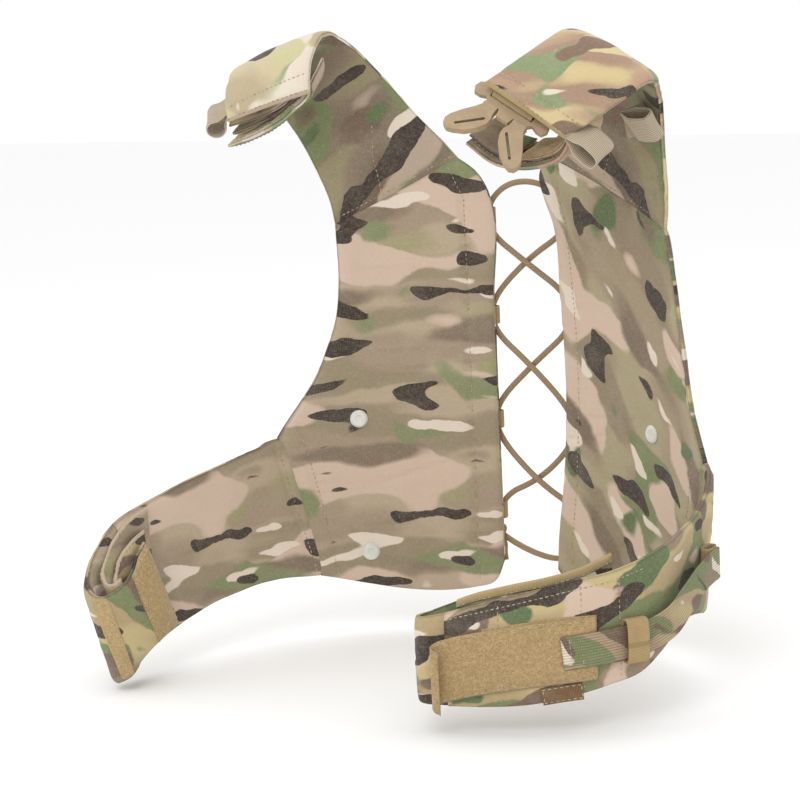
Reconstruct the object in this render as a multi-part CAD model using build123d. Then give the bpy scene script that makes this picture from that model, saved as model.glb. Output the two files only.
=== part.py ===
"""Padded harness vest: two back panels laced together at the spine, shoulder straps and side wings.

Millimetres. The wearer faces -Y and stands inside the vest. The origin is the middle of the torso at the
waist, +Z is up and the wearer's left is +X. Every padded piece is laid out on its inner face, the one that
touches the wearer, and its layers are measured outwards from there.
"""
from build123d import *
from math import hypot, pi, radians, sqrt, tan
import os

os.makedirs("parts", exist_ok=True)

# ---- driving dimensions ----
TORSO_RADIUS = 248.0            # inner face of the back panels, seen from above
SPINE_Y = 104.0                 # inner face of the panels at the spine
TORSO_CENTRE_Y = SPINE_Y - TORSO_RADIUS
PAD = 8.0                       # lining, foam and outer cloth together
CLOTH = 1.2                     # one layer of cloth
STIFFENER = 1.0                 # plastic sheet between foam and outer cloth in the back panels
THIN_PAD = 5.0                  # strap flaps and the left wing's folded end
ELASTIC_WIDTH = 25.0            # ribbed elastic of the accessory loops
ELASTIC_THICK = 1.4
WEBBING = 25.0                  # girth strap
WEBBING_THICK = 1.8
TAPE_THICK = 1.6                # hook and loop tape
HOOK_TAPE = 48.0                # wide hook tape on the left wing
HOOK_STRIP = 31.0               # hook tape along the free end of the right wing
CORD = 5.0                      # elastic lacing cord
SNAP_RADIUS = 7.5               # snap caps
SNAP_HEIGHT = 2.4
SNAP_LIFT = 0.6                 # the cap sits on the lining's flat cells
BUCKLE_WIDTH = 52.0             # male half of a side-release buckle
BUCKLE_THICK = 5.0
LACE_LOOP_WIDTH = 15.0          # webbing loops that hold the lacing cord
LACE_LOOP_REACH = 18.0          # across the cord
LACE_LOOP_RISE = 10.5
RIGHT, LEFT = -1, 1
SIDES = {RIGHT: "right", LEFT: "left"}

# ---- outlines of the back panels: across from the spine, and height ----
CENTRE_EDGE = {
    RIGHT: [(29, 34), (29, 150), (29, 260), (29, 345), (34, 358), (41, 368), (55, 379)],
    LEFT: [(21, 29), (23, 55), (30, 107), (35, 170), (35, 220), (33, 261), (28, 326), (21, 345), (17, 362),
           (24, 381)],
}
BOTTOM_EDGE = {
    RIGHT: [(29, 34), (40, 13), (54, 9), (75, 6), (97, 6), (119, 9), (139, 14), (171.5, 24.5)],
    LEFT: [(21, 29), (33, 13), (52, 9), (75, 6), (97, 6), (119, 9), (139, 14), (171.5, 24.5)],
}
YOKE_SEAM = {RIGHT: [(55, 379), (150, 328)], LEFT: [(24, 381), (147, 325)]}
WING_SEAM = [(171.5, 24.5), (180, 85), (192.5, 149)]
ARMHOLE = {
    RIGHT: [(192.5, 149), (188, 159), (179, 176), (167, 200), (160, 221), (153, 246), (150, 272), (150, 328)],
    LEFT: [(192.5, 149), (186, 161), (176, 180), (165, 232), (157, 279), (151, 310), (147, 325)],
}
# ---- yokes and straps: neck edge point, arm edge point, rise of the middle above their chord ----
YOKE_ROWS = {
    RIGHT: [((68, 94, 395), (153, 51, 349), 5.0), ((80, 91, 408), (159, 46, 370), 4.5),
            ((91, 87, 421), (166, 40, 391), 4.0), ((103, 77, 440), (174, 32, 411), 4.0),
            ((111, 62, 456), (183, 22, 429), 4.0), ((116, 45, 470), (190, 9, 441), 4.0),
            ((119, 28, 479), (195, -2, 449), 4.0), ((120, 17, 483), (197, -7, 451.5), 4.0)],
    LEFT: [((35, 98, 393), (149, 54, 346), 8.0), ((47, 94, 405), (149, 54, 370), 6.5),
           ((58, 90, 419), (148, 54, 392), 5.0), ((69, 80, 437), (151, 46, 411), 4.5),
           ((78, 64, 455), (156, 32, 426), 4.0), ((84, 46, 468), (162, 14, 436), 4.0),
           ((88, 28, 476.5), (166, 0, 440.5), 4.0), ((89.5, 17.5, 479), (168, -8, 441.5), 4.0)],
}
STRAP_ROWS = {
    RIGHT: [((121, 9.5, 484.5), (199.5, -14, 452), 4.0), ((122, -3, 480), (201, -17, 446), 4.0),
            ((124, -12, 467), (201, -20, 436), 4.0), ((125, -17, 442), (200, -21, 421), 3.0)],
    LEFT: [((88.5, 10, 479), (168, -15.5, 440.5), 4.0), ((82, -8, 472), (160, -24, 434), 4.0),
           ((70, -24, 461.5), (146, -32, 424), 3.5), ((50, -46, 445.5), (115, -44, 404.5), 2.5)],
}
# ---- folded-under strap flaps: one row across the mouth, and how far it runs back at its fold and its end ----
FLAP_FRONT = {
    RIGHT: [(132, -10, 443), (135, -10, 436), (142, -9, 428), (158, -8, 417), (180, -8, 407),
            (212, -8, 397)],
    LEFT: [(105, -37, 400), (101, -37, 392), (93, -36, 387), (72, -34, 384), (48, -33, 387),
           (24, -33, 403)],
}
FLAP_BACK = {RIGHT: ((-2, 18, 20), (-2, 20, 8)), LEFT: ((14, 32, 16), (14, 32, 16))}
# ---- wings: columns from the seam forwards, low point then high point of the inner face ----
WING_COLUMNS = {
    RIGHT: [((176.5, 30, 25), (197.5, 6.5, 147)), ((190, 10, 27), (201, -3, 143)),
            ((204, -9, 25.5), (207, -18, 139.5)), ((212, -31, 23), (213, -33, 136)),
            ((221, -56, 19), (220, -53, 132)), ((230, -82, 11), (228, -77, 127)),
            ((237, -106, 2), (238, -105, 119)), ((241, -119, -5), (243, -124, 114.5)),
            ((244, -132, -13), (247.5, -140, 109.5)), ((245.5, -141, -20), (250, -150, 105))],
    LEFT: [((176.5, 30, 25), (197.5, 6.5, 146)), ((187, 10, 29), (200, -5, 131)),
           ((194, -12, 35), (200, -19, 121)), ((198, -35, 40), (200, -35, 115)),
           ((199.5, -53, 41), (199.5, -53, 111)), ((198.5, -70, 36), (198.5, -70, 107)),
           ((195, -87, 26), (195, -87, 103)), ((187, -105, 14), (187, -105, 98)),
           ((172, -125, 8), (172, -125, 92.5)), ((150, -141, 1.5), (150, -141, 88)),
           ((125, -153, -4), (125, -153, 81.5)), ((90, -163, -7), (90, -163, 72)),
           ((62, -169, -7.5), (62, -169, 64))],
}
# ---- folded wing ends, on the face that was the inner one before folding ----
WING_END_COLUMNS = {
    RIGHT: [((246, -149, -22), (253.5, -160, 97)), ((246, -158, -22), (259, -172, 78)),
            ((243, -163, -21), (255, -181, 62)), ((238, -163, -17), (247, -181, 54)),
            ((235.5, -159, -12), (243, -176, 55)), ((234.5, -156, -7), (240, -169, 58)),
            ((231, -144, 2), (237, -156, 68)), ((228, -129, 9), (236, -149, 80)),
            ((232, -108, 11), (234.5, -139.5, 90))],
    LEFT: [((54, -171.5, -7), (54, -171.5, 62)), ((45, -172.5, -7), (45, -172.5, 60)),
           ((40, -169, -7), (40, -169, 59)), ((40.5, -163.5, -7), (40.5, -163.5, 59)),
           ((48, -160, -6), (48, -160, 62)), ((75, -155, -5), (75, -155, 73)),
           ((105, -147, -2), (105, -147, 81)), ((130, -136, 2), (130, -136, 86)),
           ((150, -120, 8), (150, -120, 91)), ((165, -95, 16), (165, -95, 98))],
}
# ---- lacing cord, from the knot round both sides and back to it ----
CORD_ROUTE = [
    (-39, 114, 64), (-36, 114, 87), (3, 117.5, 104), (36.5, 114, 137), (37, 114, 163),
    (1, 110.5, 203), (-36, 114, 232), (-36.5, 114, 258), (-2, 117.5, 293), (37.5, 114, 317),
    (37, 114, 340), (14, 115, 358), (-16, 114.5, 358), (-36, 114, 340), (-36.5, 114, 316),
    (-1, 110.5, 291), (38, 114, 262), (38.5, 114, 235), (1, 117.5, 204.5), (-36.5, 114, 168),
    (-36, 114, 141), (3, 110.5, 103), (38, 114, 80), (40, 114.5, 56), (26, 114.5, 33),
    (-13, 113.5, 41), (-34, 115, 53),
]
CORD_TURN = 0.45                # share of the shorter run that each arc of the cord takes
KNOT = (-38.5, 116, 55.5)       # closes the lacing behind the right panel
KNOT_SIZE = (15, 12, 16)
KNOT_TAILS = [((-41, 116, 50), (-44, 118, 26)), ((-36, 117, 50), (-35, 119, 30))]
LACE_LOOP_HEIGHTS = {RIGHT: (76, 155, 245, 329), LEFT: (69, 150, 248, 330)}
LACE_LOOP_ACROSS = 37.0
# ---- elastic accessory loops: centre, direction of the open way through, direction of the flat width ----
ELASTIC_LOOPS = {
    "left_front_loop": ((134, -40, 398), (-0.2, -0.87, -0.45), (0.69, 0.26, -0.68), 25, 16),
    "left_side_loop": ((143.5, 36, 409), (-0.15, -0.62, 0.77), (0.95, -0.30, 0.0), 25, 14),
    "right_side_loop": ((-220, -12, 421), (0.374, -0.725, -0.578), (-0.872, -0.487, 0.048), 20, 16),
}
# ---- buckle: middle of its bar, direction along the bar, direction towards the prong tips ----
BUCKLE_SEAT = (72.3, -38.3, 432.2)
BUCKLE_BAR = (0.845, 0.026, -0.533)
BUCKLE_RUN = (-0.386, -0.66, -0.644)
BUCKLE_WEB = 38.0
PRONG_GAP = 0.4
PRONG_THICK = 7.0
PRONG_SLOT = (24.0, 2.2)        # lets the tip of each prong spring
# ---- fittings on the left wing: place along its columns, height of the middle, distance from inner face ----
GIRTH_STRAP = [(9.25, 35.5, 11.2), (8.6, 37.5, 11.6), (8.0, 40, 12.6), (7.0, 42.5, 13), (6.2, 49, 16),
               (5.2, 64, 18.5), (4.4, 73, 19.6), (3.6, 77, 19.8), (3.0, 78, 19.6), (2.2, 78, 19.6)]
HOOK_TAPE_RUN = [(8.35, 38, 8.3), (9.0, 37, 8.3), (10.0, 34, 8.3), (11.0, 28, 8.3), (11.2, 27, 8.3)]
HOOK_TAB_RUN = [(84, -173.5, 25.5), (74, -178, 24), (66, -181, 22), (60, -184, 20), (58, -188, 18),
                (61, -191, 16), (65, -190, 14)]
LABEL_RUN = [(8.75, 6, 8.4), (9.0, 5.5, 8.4), (9.4, 4.2, 8.4), (9.8, 2.5, 8.4)]
LABEL_HEIGHT = 13.0
ANCHOR_PLACE = (2.45, 78)
KEEPER_PLACE = (7.4, 41.8, 14.6)
KEEPER_LENGTH = 18.0
# ---- snap caps: across and height ----
SNAPS = {RIGHT: [(141, 160), (137, 43)], LEFT: [(129, 158), (137, 43)]}


def mirror_side(point, side):
    return Vector(point[0] * side, point[1], point[2])


def torso_point(across, height, side):
    """Point on the inner face of a back panel."""
    depth = TORSO_CENTRE_Y + sqrt(TORSO_RADIUS ** 2 - across ** 2)
    return Vector(side * across, depth, height)


def resample(points, count):
    """Evenly spaced points along a polyline of plain tuples, both ends included."""
    lengths = [0.0]
    for start, end in zip(points, points[1:]):
        lengths.append(lengths[-1] + hypot(*(b - a for a, b in zip(start, end))))
    result = []
    for step in range(count + 1):
        target = lengths[-1] * step / count
        index = max(i for i in range(len(points) - 1) if lengths[i] <= target + 1e-9)
        share = (target - lengths[index]) / (lengths[index + 1] - lengths[index])
        result.append(tuple(a + share * (b - a) for a, b in zip(points[index], points[index + 1])))
    return result


def blend_patch(bottom, top, first, last):
    """Grid of plane points filled in between four edges; rows run from bottom to top."""
    columns = len(bottom) - 1
    rows = len(first) - 1
    grid = []
    for j in range(rows + 1):
        v = j / rows
        row = []
        for i in range(columns + 1):
            u = i / columns
            row.append(tuple(
                (1 - v) * bottom[i][k] + v * top[i][k] + (1 - u) * first[j][k] + u * last[j][k]
                - (1 - u) * (1 - v) * bottom[0][k] - u * (1 - v) * bottom[-1][k]
                - (1 - u) * v * top[0][k] - u * v * top[-1][k]
                for k in range(2)))
        grid.append(row)
    return grid


BACK_ACROSS = 7                 # grid cells across a back panel
SEAM_ROWS, ARMHOLE_ROWS = 4, 7  # grid cells along the wing seam and the armhole


def back_grid(side):
    outer_edge = resample(WING_SEAM, SEAM_ROWS) + resample(ARMHOLE[side], ARMHOLE_ROWS)[1:]
    flat = blend_patch(
        resample(BOTTOM_EDGE[side], BACK_ACROSS), resample(YOKE_SEAM[side], BACK_ACROSS),
        resample(CENTRE_EDGE[side], SEAM_ROWS + ARMHOLE_ROWS), outer_edge)
    return [[torso_point(across, height, side) for across, height in row] for row in flat]


def crowned_row(neck, arm, rise, up, side, cells):
    """Points from the neck edge to the arm edge, the middle lifted above the chord."""
    a, b = mirror_side(neck, side), mirror_side(arm, side)
    return [a + (b - a) * (i / cells) + up * (4 * rise * (i / cells) * (1 - i / cells))
            for i in range(cells + 1)]


def strap_grid(rows, side, cells=4):
    """Crowned rows; each is lifted square to the cloth there."""
    grid = []
    for index, (neck, arm, rise) in enumerate(rows):
        before, after = rows[max(index - 1, 0)], rows[min(index + 1, len(rows) - 1)]
        run = mirror_side(after[0], side) + mirror_side(after[1], side)
        run = run - mirror_side(before[0], side) - mirror_side(before[1], side)
        across = mirror_side(arm, side) - mirror_side(neck, side)
        up = (run.cross(across) * side).normalized()
        grid.append(crowned_row(neck, arm, rise, up, side, cells))
    return grid


def yoke_grid(side):
    seam = [torso_point(across, height, side) for across, height in resample(YOKE_SEAM[side], 4)]
    return [seam] + strap_grid(YOKE_ROWS[side], side)


def column_grid(columns, side, cells=3):
    """Straight columns from a low point to a high point."""
    grid = []
    for low, high in columns:
        a, b = mirror_side(low, side), mirror_side(high, side)
        grid.append([a + (b - a) * (i / cells) for i in range(cells + 1)])
    return grid


def grid_normals(grid, flip):
    """Unit normals of a grid of points, from its neighbours."""
    last_j, last_i = len(grid) - 1, len(grid[0]) - 1
    normals = []
    for j in range(last_j + 1):
        row = []
        for i in range(last_i + 1):
            along = grid[min(j + 1, last_j)][i] - grid[max(j - 1, 0)][i]
            across = grid[j][min(i + 1, last_i)] - grid[j][max(i - 1, 0)]
            row.append((along.cross(across) * flip).normalized())
        normals.append(row)
    return normals


def triangle(a, b, c):
    return Face(Wire.make_polygon([a, b, c], close=True))


def quilt(grid, normals, inner, outer):
    """Closed solid between two offsets of a grid of points."""
    low = [[p + n * inner for p, n in zip(*rows)] for rows in zip(grid, normals)]
    high = [[p + n * outer for p, n in zip(*rows)] for rows in zip(grid, normals)]
    faces = []
    for j in range(len(grid) - 1):
        for i in range(len(grid[0]) - 1):
            for sheet in (low, high):
                a, b = sheet[j][i], sheet[j][i + 1]
                c, d = sheet[j + 1][i + 1], sheet[j + 1][i]
                faces += [triangle(a, b, c), triangle(a, c, d)]
    rim_low, rim_high = rim(low), rim(high)
    for k, start in enumerate(rim_low):
        following = (k + 1) % len(rim_low)
        faces += [triangle(start, rim_low[following], rim_high[following]),
                  triangle(start, rim_high[following], rim_high[k])]
    return Solid(Shell(faces))


def rim(sheet):
    """Edge points of a grid, once round."""
    right_side = [row[-1] for row in sheet[1:-1]]
    left_side = [row[0] for row in sheet[1:-1]]
    return sheet[0] + right_side + sheet[-1][::-1] + left_side[::-1]


def write(shape, name):
    shape.label = name
    export_step(shape, f"parts/{name}.step")


def write_padded(prefix, grid, flip, thickness=PAD, core=None):
    """Lining, foam and outer cloth of one padded piece; returns its grid normals."""
    normals = grid_normals(grid, flip)
    foam_top = thickness - CLOTH if core is None else core
    write(quilt(grid, normals, 0, CLOTH), f"{prefix}_lining")
    write(quilt(grid, normals, CLOTH, foam_top), f"{prefix}_foam")
    write(quilt(grid, normals, thickness - CLOTH, thickness), f"{prefix}_shell")
    return normals


def back_panel(side):
    name = SIDES[side]
    grid = back_grid(side)
    sheet_bottom = PAD - CLOTH - STIFFENER
    normals = write_padded(f"{name}_back", grid, side, core=sheet_bottom)
    inset = [row[1:-1] for row in grid[1:-1]]
    inset_normals = [row[1:-1] for row in normals[1:-1]]
    write(quilt(inset, inset_normals, sheet_bottom, PAD - CLOTH), f"{name}_back_stiffener")
    write_padded(f"{name}_yoke", yoke_grid(side), side)


def facing_out(point):
    """Horizontal direction from the torso's axis to a point of a back panel."""
    return Vector(point.X, point.Y - TORSO_CENTRE_Y, 0).normalized()


def snap_caps(side):
    caps = []
    dimple = SNAP_RADIUS * 0.45
    profile = Polyline((0, 0), (SNAP_RADIUS, 0), (SNAP_RADIUS, 0.9), (SNAP_RADIUS - 1.6, SNAP_HEIGHT),
                       (dimple, SNAP_HEIGHT), (dimple - 0.8, SNAP_HEIGHT - 0.8),
                       (0, SNAP_HEIGHT - 0.8), (0, 0))
    cap = revolve(make_face(Plane.XZ * profile), Axis.Z)
    for across, height in SNAPS[side]:
        point = torso_point(across, height, side)
        outward = facing_out(point)
        seat = Plane(origin=point - outward * SNAP_LIFT, x_dir=(0, 0, 1), z_dir=outward * -1)
        caps.append(seat.location * cap)
    write(Compound(caps), f"{SIDES[side]}_snap_caps")


def elastic_ring(width, depth, band, thick):
    """Flattened ring of webbing or elastic, open along local Z."""
    corner = min(width, depth) * 0.45
    ring = RectangleRounded(width, depth, corner)
    ring -= RectangleRounded(width - 2 * thick, depth - 2 * thick, corner - thick)
    return extrude(ring, band / 2, both=True)


def lacing_loops(side):
    ring = elastic_ring(LACE_LOOP_REACH, LACE_LOOP_RISE, LACE_LOOP_WIDTH, CLOTH)
    loops = []
    for height in LACE_LOOP_HEIGHTS[side]:
        foot = torso_point(LACE_LOOP_ACROSS, height, side)
        outward = facing_out(foot)
        centre = foot + outward * (PAD + LACE_LOOP_RISE / 2)
        loops.append(Plane(origin=centre, x_dir=outward.cross(Vector(0, 0, 1)), z_dir=(0, 0, 1)).location * ring)
    write(Compound(loops), f"{SIDES[side]}_lacing_loops")


def strap(side):
    name = SIDES[side]
    write_padded(f"{name}_strap", strap_grid(STRAP_ROWS[side], side), side)
    front = [mirror_side(point, side) for point in FLAP_FRONT[side]]
    fold, end = (mirror_side(run, side) for run in FLAP_BACK[side])
    runs = [fold + (end - fold) * (k / (len(front) - 1)) for k in range(len(front))]
    grid = [[p + run * share for p, run in zip(front, runs)] for share in (0, 0.5, 1)]
    normals = grid_normals(grid, -side)
    write(quilt(grid, normals, 0, THIN_PAD), f"{name}_strap_flap")
    return grid, normals


def wing(side):
    write_padded(f"{SIDES[side]}_wing", column_grid(WING_COLUMNS[side], side), -side)


def elastic_loop(name):
    centre, way, flat, width, depth = ELASTIC_LOOPS[name]
    ring = elastic_ring(width, depth, ELASTIC_WIDTH, ELASTIC_THICK)
    way = Vector(*way).normalized()
    flat = Vector(*flat)
    flat = (flat - way * flat.dot(way)).normalized()
    write(Plane(origin=centre, x_dir=flat, z_dir=way).location * ring, name)


def cord_path(points):
    """Straight runs joined by arcs as large as the runs allow."""
    places = [Vector(*point) for point in points]
    radii = []
    for before, corner, after in zip(places, places[1:], places[2:]):
        turn = radians((corner - before).get_angle(after - corner))
        shorter = min((corner - before).length, (after - corner).length)
        radii.append(CORD_TURN * shorter / tan(turn / 2))
    print("cord radii", [round(radius, 1) for radius in radii])
    return FilletPolyline(*places, radius=radii)


def cord_tube(points, diameter):
    path = cord_path(points)
    start = Plane(origin=path @ 0, z_dir=path % 0)
    tube = sweep(start * Circle(diameter / 2), path=path)
    print("cord length", round(path.length, 1), "volume ratio",
          round(tube.volume / (path.length * pi * diameter ** 2 / 4), 4))
    return tube


def lacing():
    write(cord_tube(CORD_ROUTE, CORD), "lacing_cord")
    knot = Location(KNOT) * scale(Sphere(0.5), by=KNOT_SIZE)
    pieces = [knot]
    for top, bottom in KNOT_TAILS:
        axis = Vector(*bottom) - Vector(*top)
        tail = Cylinder(CORD / 2, axis.length, align=(Align.CENTER, Align.CENTER, Align.MIN))
        pieces.append(Plane(origin=top, z_dir=axis).location * tail)
    write(pieces[0].fuse(*pieces[1:]), "lacing_knot")


def buckle_plane():
    bar = Vector(*BUCKLE_BAR).normalized()
    run = Vector(*BUCKLE_RUN)
    run = (run - bar * run.dot(bar)).normalized()
    return Plane(origin=BUCKLE_SEAT, x_dir=bar, z_dir=bar.cross(run))


def buckle():
    """Local X runs along the bar and Y towards the prong tips."""
    place = buckle_plane().location
    half = BUCKLE_WIDTH / 2
    plate = extrude(make_face(Polyline(
        (-half - 2, 0), (half + 2, 0), (half + 7, 3), (half + 8.5, 8), (half + 6, 12.5), (half + 1, 12.5),
        (22, 10.5), (19, 14), (7, 14), (5.5, 20), (-5.5, 20), (-7, 14), (-19, 14), (-22, 10.5),
        (-half - 1, 12.5), (-half - 6, 12.5), (-half - 8.5, 8), (-half - 7, 3), (-half - 2, 0))),
        BUCKLE_THICK / 2, both=True)
    plate -= Location((0, 6.5)) * Box(BUCKLE_WEB + 2, 4.5, BUCKLE_THICK * 2)
    write(place * plate, "buckle_body")
    root = 14 + PRONG_GAP
    prong = extrude(make_face(Polyline(
        (8, root), (20, root), (20, 18), (23, 23), (29, 31), (34, 39), (35.5, 44), (34, 48.5), (30, 50.5),
        (25, 49), (17, 44.5), (10, 37), (6.5, 30), (6.3, 25), (8, 21), (8, root))), PRONG_THICK / 2, both=True)
    slot = Location((18.5, 35.5), (0, 0, 46)) * SlotOverall(*PRONG_SLOT)
    prong -= extrude(slot, PRONG_THICK, both=True)
    write(place * prong, "buckle_arm_prong")
    write(place * mirror(prong, about=Plane.YZ), "buckle_neck_prong")
    web_profile = make_face(Polyline(
        (-13, 3.9), (5.0, 3.9), (6.6, 2.4), (6.6, -2.4), (5.0, -3.9), (-13, -3.9), (-13, -5.2),
        (5.6, -5.2), (8.0, -3.0), (8.0, 3.0), (5.6, 5.2), (-13, 5.2), (-13, 3.9)))
    webbing = extrude(Plane.YZ * web_profile, BUCKLE_WEB / 2, both=True)
    write(place * webbing, "buckle_webbing")


def wall_place(columns, side, where):
    """Middle of a wing's inner face at a place along its columns, and its outward direction."""
    index = min(int(where), len(columns) - 2)
    share = where - index
    middles = [(mirror_side(low, side) + mirror_side(high, side)) * 0.5 for low, high in columns]
    point = middles[index] + (middles[index + 1] - middles[index]) * share
    point.Z = 0
    before, after = middles[max(index - 1, 0)], middles[min(index + 2, len(middles) - 1)]
    start = middles[index + 1] - before
    end = after - middles[index]
    run = start.normalized() * (1 - share) + end.normalized() * share
    run.Z = 0
    run = run.normalized()
    return point, run.cross(Vector(0, 0, 1)) * -side, run


def wall_strip(stations, height, thick, name):
    """Strip of tape or webbing along the left wing's outer face."""
    columns = WING_COLUMNS[LEFT]
    grid, normals = [], []
    for where, middle, distance in stations:
        point, outward, _ = wall_place(columns, LEFT, where)
        base = point + outward * distance
        grid.append([base + Vector(0, 0, middle + height * share) for share in (-0.5, 0.5)])
        normals.append([outward, outward])
    write(quilt(grid, normals, 0, thick), name)


def left_wing_fittings():
    wall_strip(GIRTH_STRAP, WEBBING, WEBBING_THICK, "left_girth_strap")
    wall_strip(HOOK_TAPE_RUN, HOOK_TAPE, TAPE_THICK, "left_hook_tape")
    wall_strip(LABEL_RUN, LABEL_HEIGHT, 0.8, "left_blank_label")
    tab = [[Vector(x, y, z - HOOK_TAPE / 2), Vector(x, y, z + HOOK_TAPE / 2)] for x, y, z in HOOK_TAB_RUN]
    write(quilt(tab, grid_normals(tab, -LEFT), 0, TAPE_THICK), "left_hook_tab")
    where, middle = ANCHOR_PLACE
    point, outward, run = wall_place(WING_COLUMNS[LEFT], LEFT, where)
    ring = elastic_ring(10.5, 20, WEBBING + 2, WEBBING_THICK)
    seat = Plane(origin=point + outward * (PAD + 6.2) + Vector(0, 0, middle), x_dir=outward,
                 z_dir=(0, 0, 1))
    write(seat.location * ring, "left_strap_anchor")
    where, middle, distance = KEEPER_PLACE
    point, outward, run = wall_place(WING_COLUMNS[LEFT], LEFT, where)
    ring = elastic_ring(12, WEBBING + 9, KEEPER_LENGTH, ELASTIC_THICK)
    seat = Plane(origin=point + outward * distance + Vector(0, 0, middle), x_dir=outward, z_dir=run)
    write(seat.location * ring, "left_keeper")
    print("keeper slides along", run, "at", seat.origin)


def wing_end(side, thickness):
    grid = column_grid(WING_END_COLUMNS[side], side)
    normals = grid_normals(grid, -side)
    write(quilt(grid, normals, 0, thickness), f"{SIDES[side]}_wing_end_pad")
    return grid, normals


def grid_strip(grid, normals, rows, low, high, base, thick, name):
    """Tape on a padded piece: some of its columns, between two shares of their height."""
    points = [[grid[j][0] + (grid[j][-1] - grid[j][0]) * share for share in (low, high)] for j in rows]
    ways = [[normals[j][0], normals[j][-1]] for j in rows]
    write(quilt(points, ways, base, base + thick), name)


def before_end(line, ways, distance):
    """Point this far back from the end of a line of points, and the way out of the cloth there."""
    index = len(line) - 1
    while index > 1 and distance > (line[index] - line[index - 1]).length:
        distance -= (line[index] - line[index - 1]).length
        index -= 1
    share = distance / (line[index] - line[index - 1]).length
    point = line[index] + (line[index - 1] - line[index]) * share
    return point, (ways[index] + (ways[index - 1] - ways[index]) * share).normalized()


def end_strip(grid, normals, distances, base, thick, name):
    """Tape of even width along the free end of a padded piece."""
    rows = []
    for distance in distances:
        rows.append([before_end([r[k] for r in grid], [r[k] for r in normals], distance) for k in (0, 1, 2, -1)])
    points, ways = ([[pair[k] for pair in row] for row in rows] for k in (0, 1))
    write(quilt(points, ways, base, base + thick), name)


def main():
    for side in (RIGHT, LEFT):
        back_panel(side)
        snap_caps(side)
        lacing_loops(side)
        strap(side)
        wing(side)
    grid, normals = wing_end(RIGHT, PAD)
    stations = [1 + (HOOK_STRIP - 1) * share for share in (1, 0.75, 0.5, 0.25, 0)]
    end_strip(grid, normals, stations, PAD + 0.7, TAPE_THICK, "right_wing_hook_strip")
    grid_strip(grid, normals, (3, 4), 0.02, 0.97, PAD + 0.4, TAPE_THICK, "right_wing_loop_tape")
    grid, normals = wing_end(LEFT, THIN_PAD)
    grid_strip(grid, normals, (5, 6, 7, 8, 9), 0.3, 0.95, THIN_PAD, TAPE_THICK, "left_wing_end_tape")
    for name in ELASTIC_LOOPS:
        elastic_loop(name)
    lacing()
    buckle()
    left_wing_fittings()


main()
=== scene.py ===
"""Looks of the padded vest: camouflage cloth, webbing, tapes, lacing and buckle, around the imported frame."""
import math
import bpy
import bmesh
import numpy as np
from mathutils import Matrix, Vector


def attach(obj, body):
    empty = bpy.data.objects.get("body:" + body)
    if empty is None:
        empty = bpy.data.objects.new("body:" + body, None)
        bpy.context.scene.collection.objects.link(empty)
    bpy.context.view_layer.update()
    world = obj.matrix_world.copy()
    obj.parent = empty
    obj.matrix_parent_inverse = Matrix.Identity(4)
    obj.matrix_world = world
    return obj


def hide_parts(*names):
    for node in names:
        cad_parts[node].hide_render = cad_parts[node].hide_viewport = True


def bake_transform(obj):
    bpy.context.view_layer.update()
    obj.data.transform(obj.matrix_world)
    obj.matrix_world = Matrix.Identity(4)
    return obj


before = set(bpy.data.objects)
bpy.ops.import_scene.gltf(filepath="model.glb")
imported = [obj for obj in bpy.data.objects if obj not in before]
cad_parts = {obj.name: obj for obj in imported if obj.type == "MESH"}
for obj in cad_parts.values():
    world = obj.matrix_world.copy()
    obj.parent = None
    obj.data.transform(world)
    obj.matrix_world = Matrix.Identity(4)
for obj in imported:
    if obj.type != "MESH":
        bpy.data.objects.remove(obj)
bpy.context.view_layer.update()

MM = 0.001
RIGHT, LEFT = -1, 1
SIDES = {RIGHT: "right", LEFT: "left"}


def linked(name, data):
    """A new object in the scene."""
    made = bpy.data.objects.new(name, data)
    bpy.context.scene.collection.objects.link(made)
    return made


# ---------------------------------------------------------------- camera
CAMERA_PLACE = (0.9205, -1.7312, 0.5276)
CAMERA_RIGHT = Vector((0.87198, 0.48720, -0.04777))
CAMERA_UP = Vector((-0.04057, 0.16917, 0.98475))
camera_data = bpy.data.cameras.new("camera")
camera_data.lens = 110.88
camera_data.sensor_width = 36
camera_data.clip_end = 20
camera = linked("camera", camera_data)
camera.matrix_world = Matrix.Translation(CAMERA_PLACE) @ Matrix(
    (CAMERA_RIGHT, CAMERA_UP, CAMERA_RIGHT.cross(CAMERA_UP))).transposed().to_4x4()
bpy.context.scene.camera = camera


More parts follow.
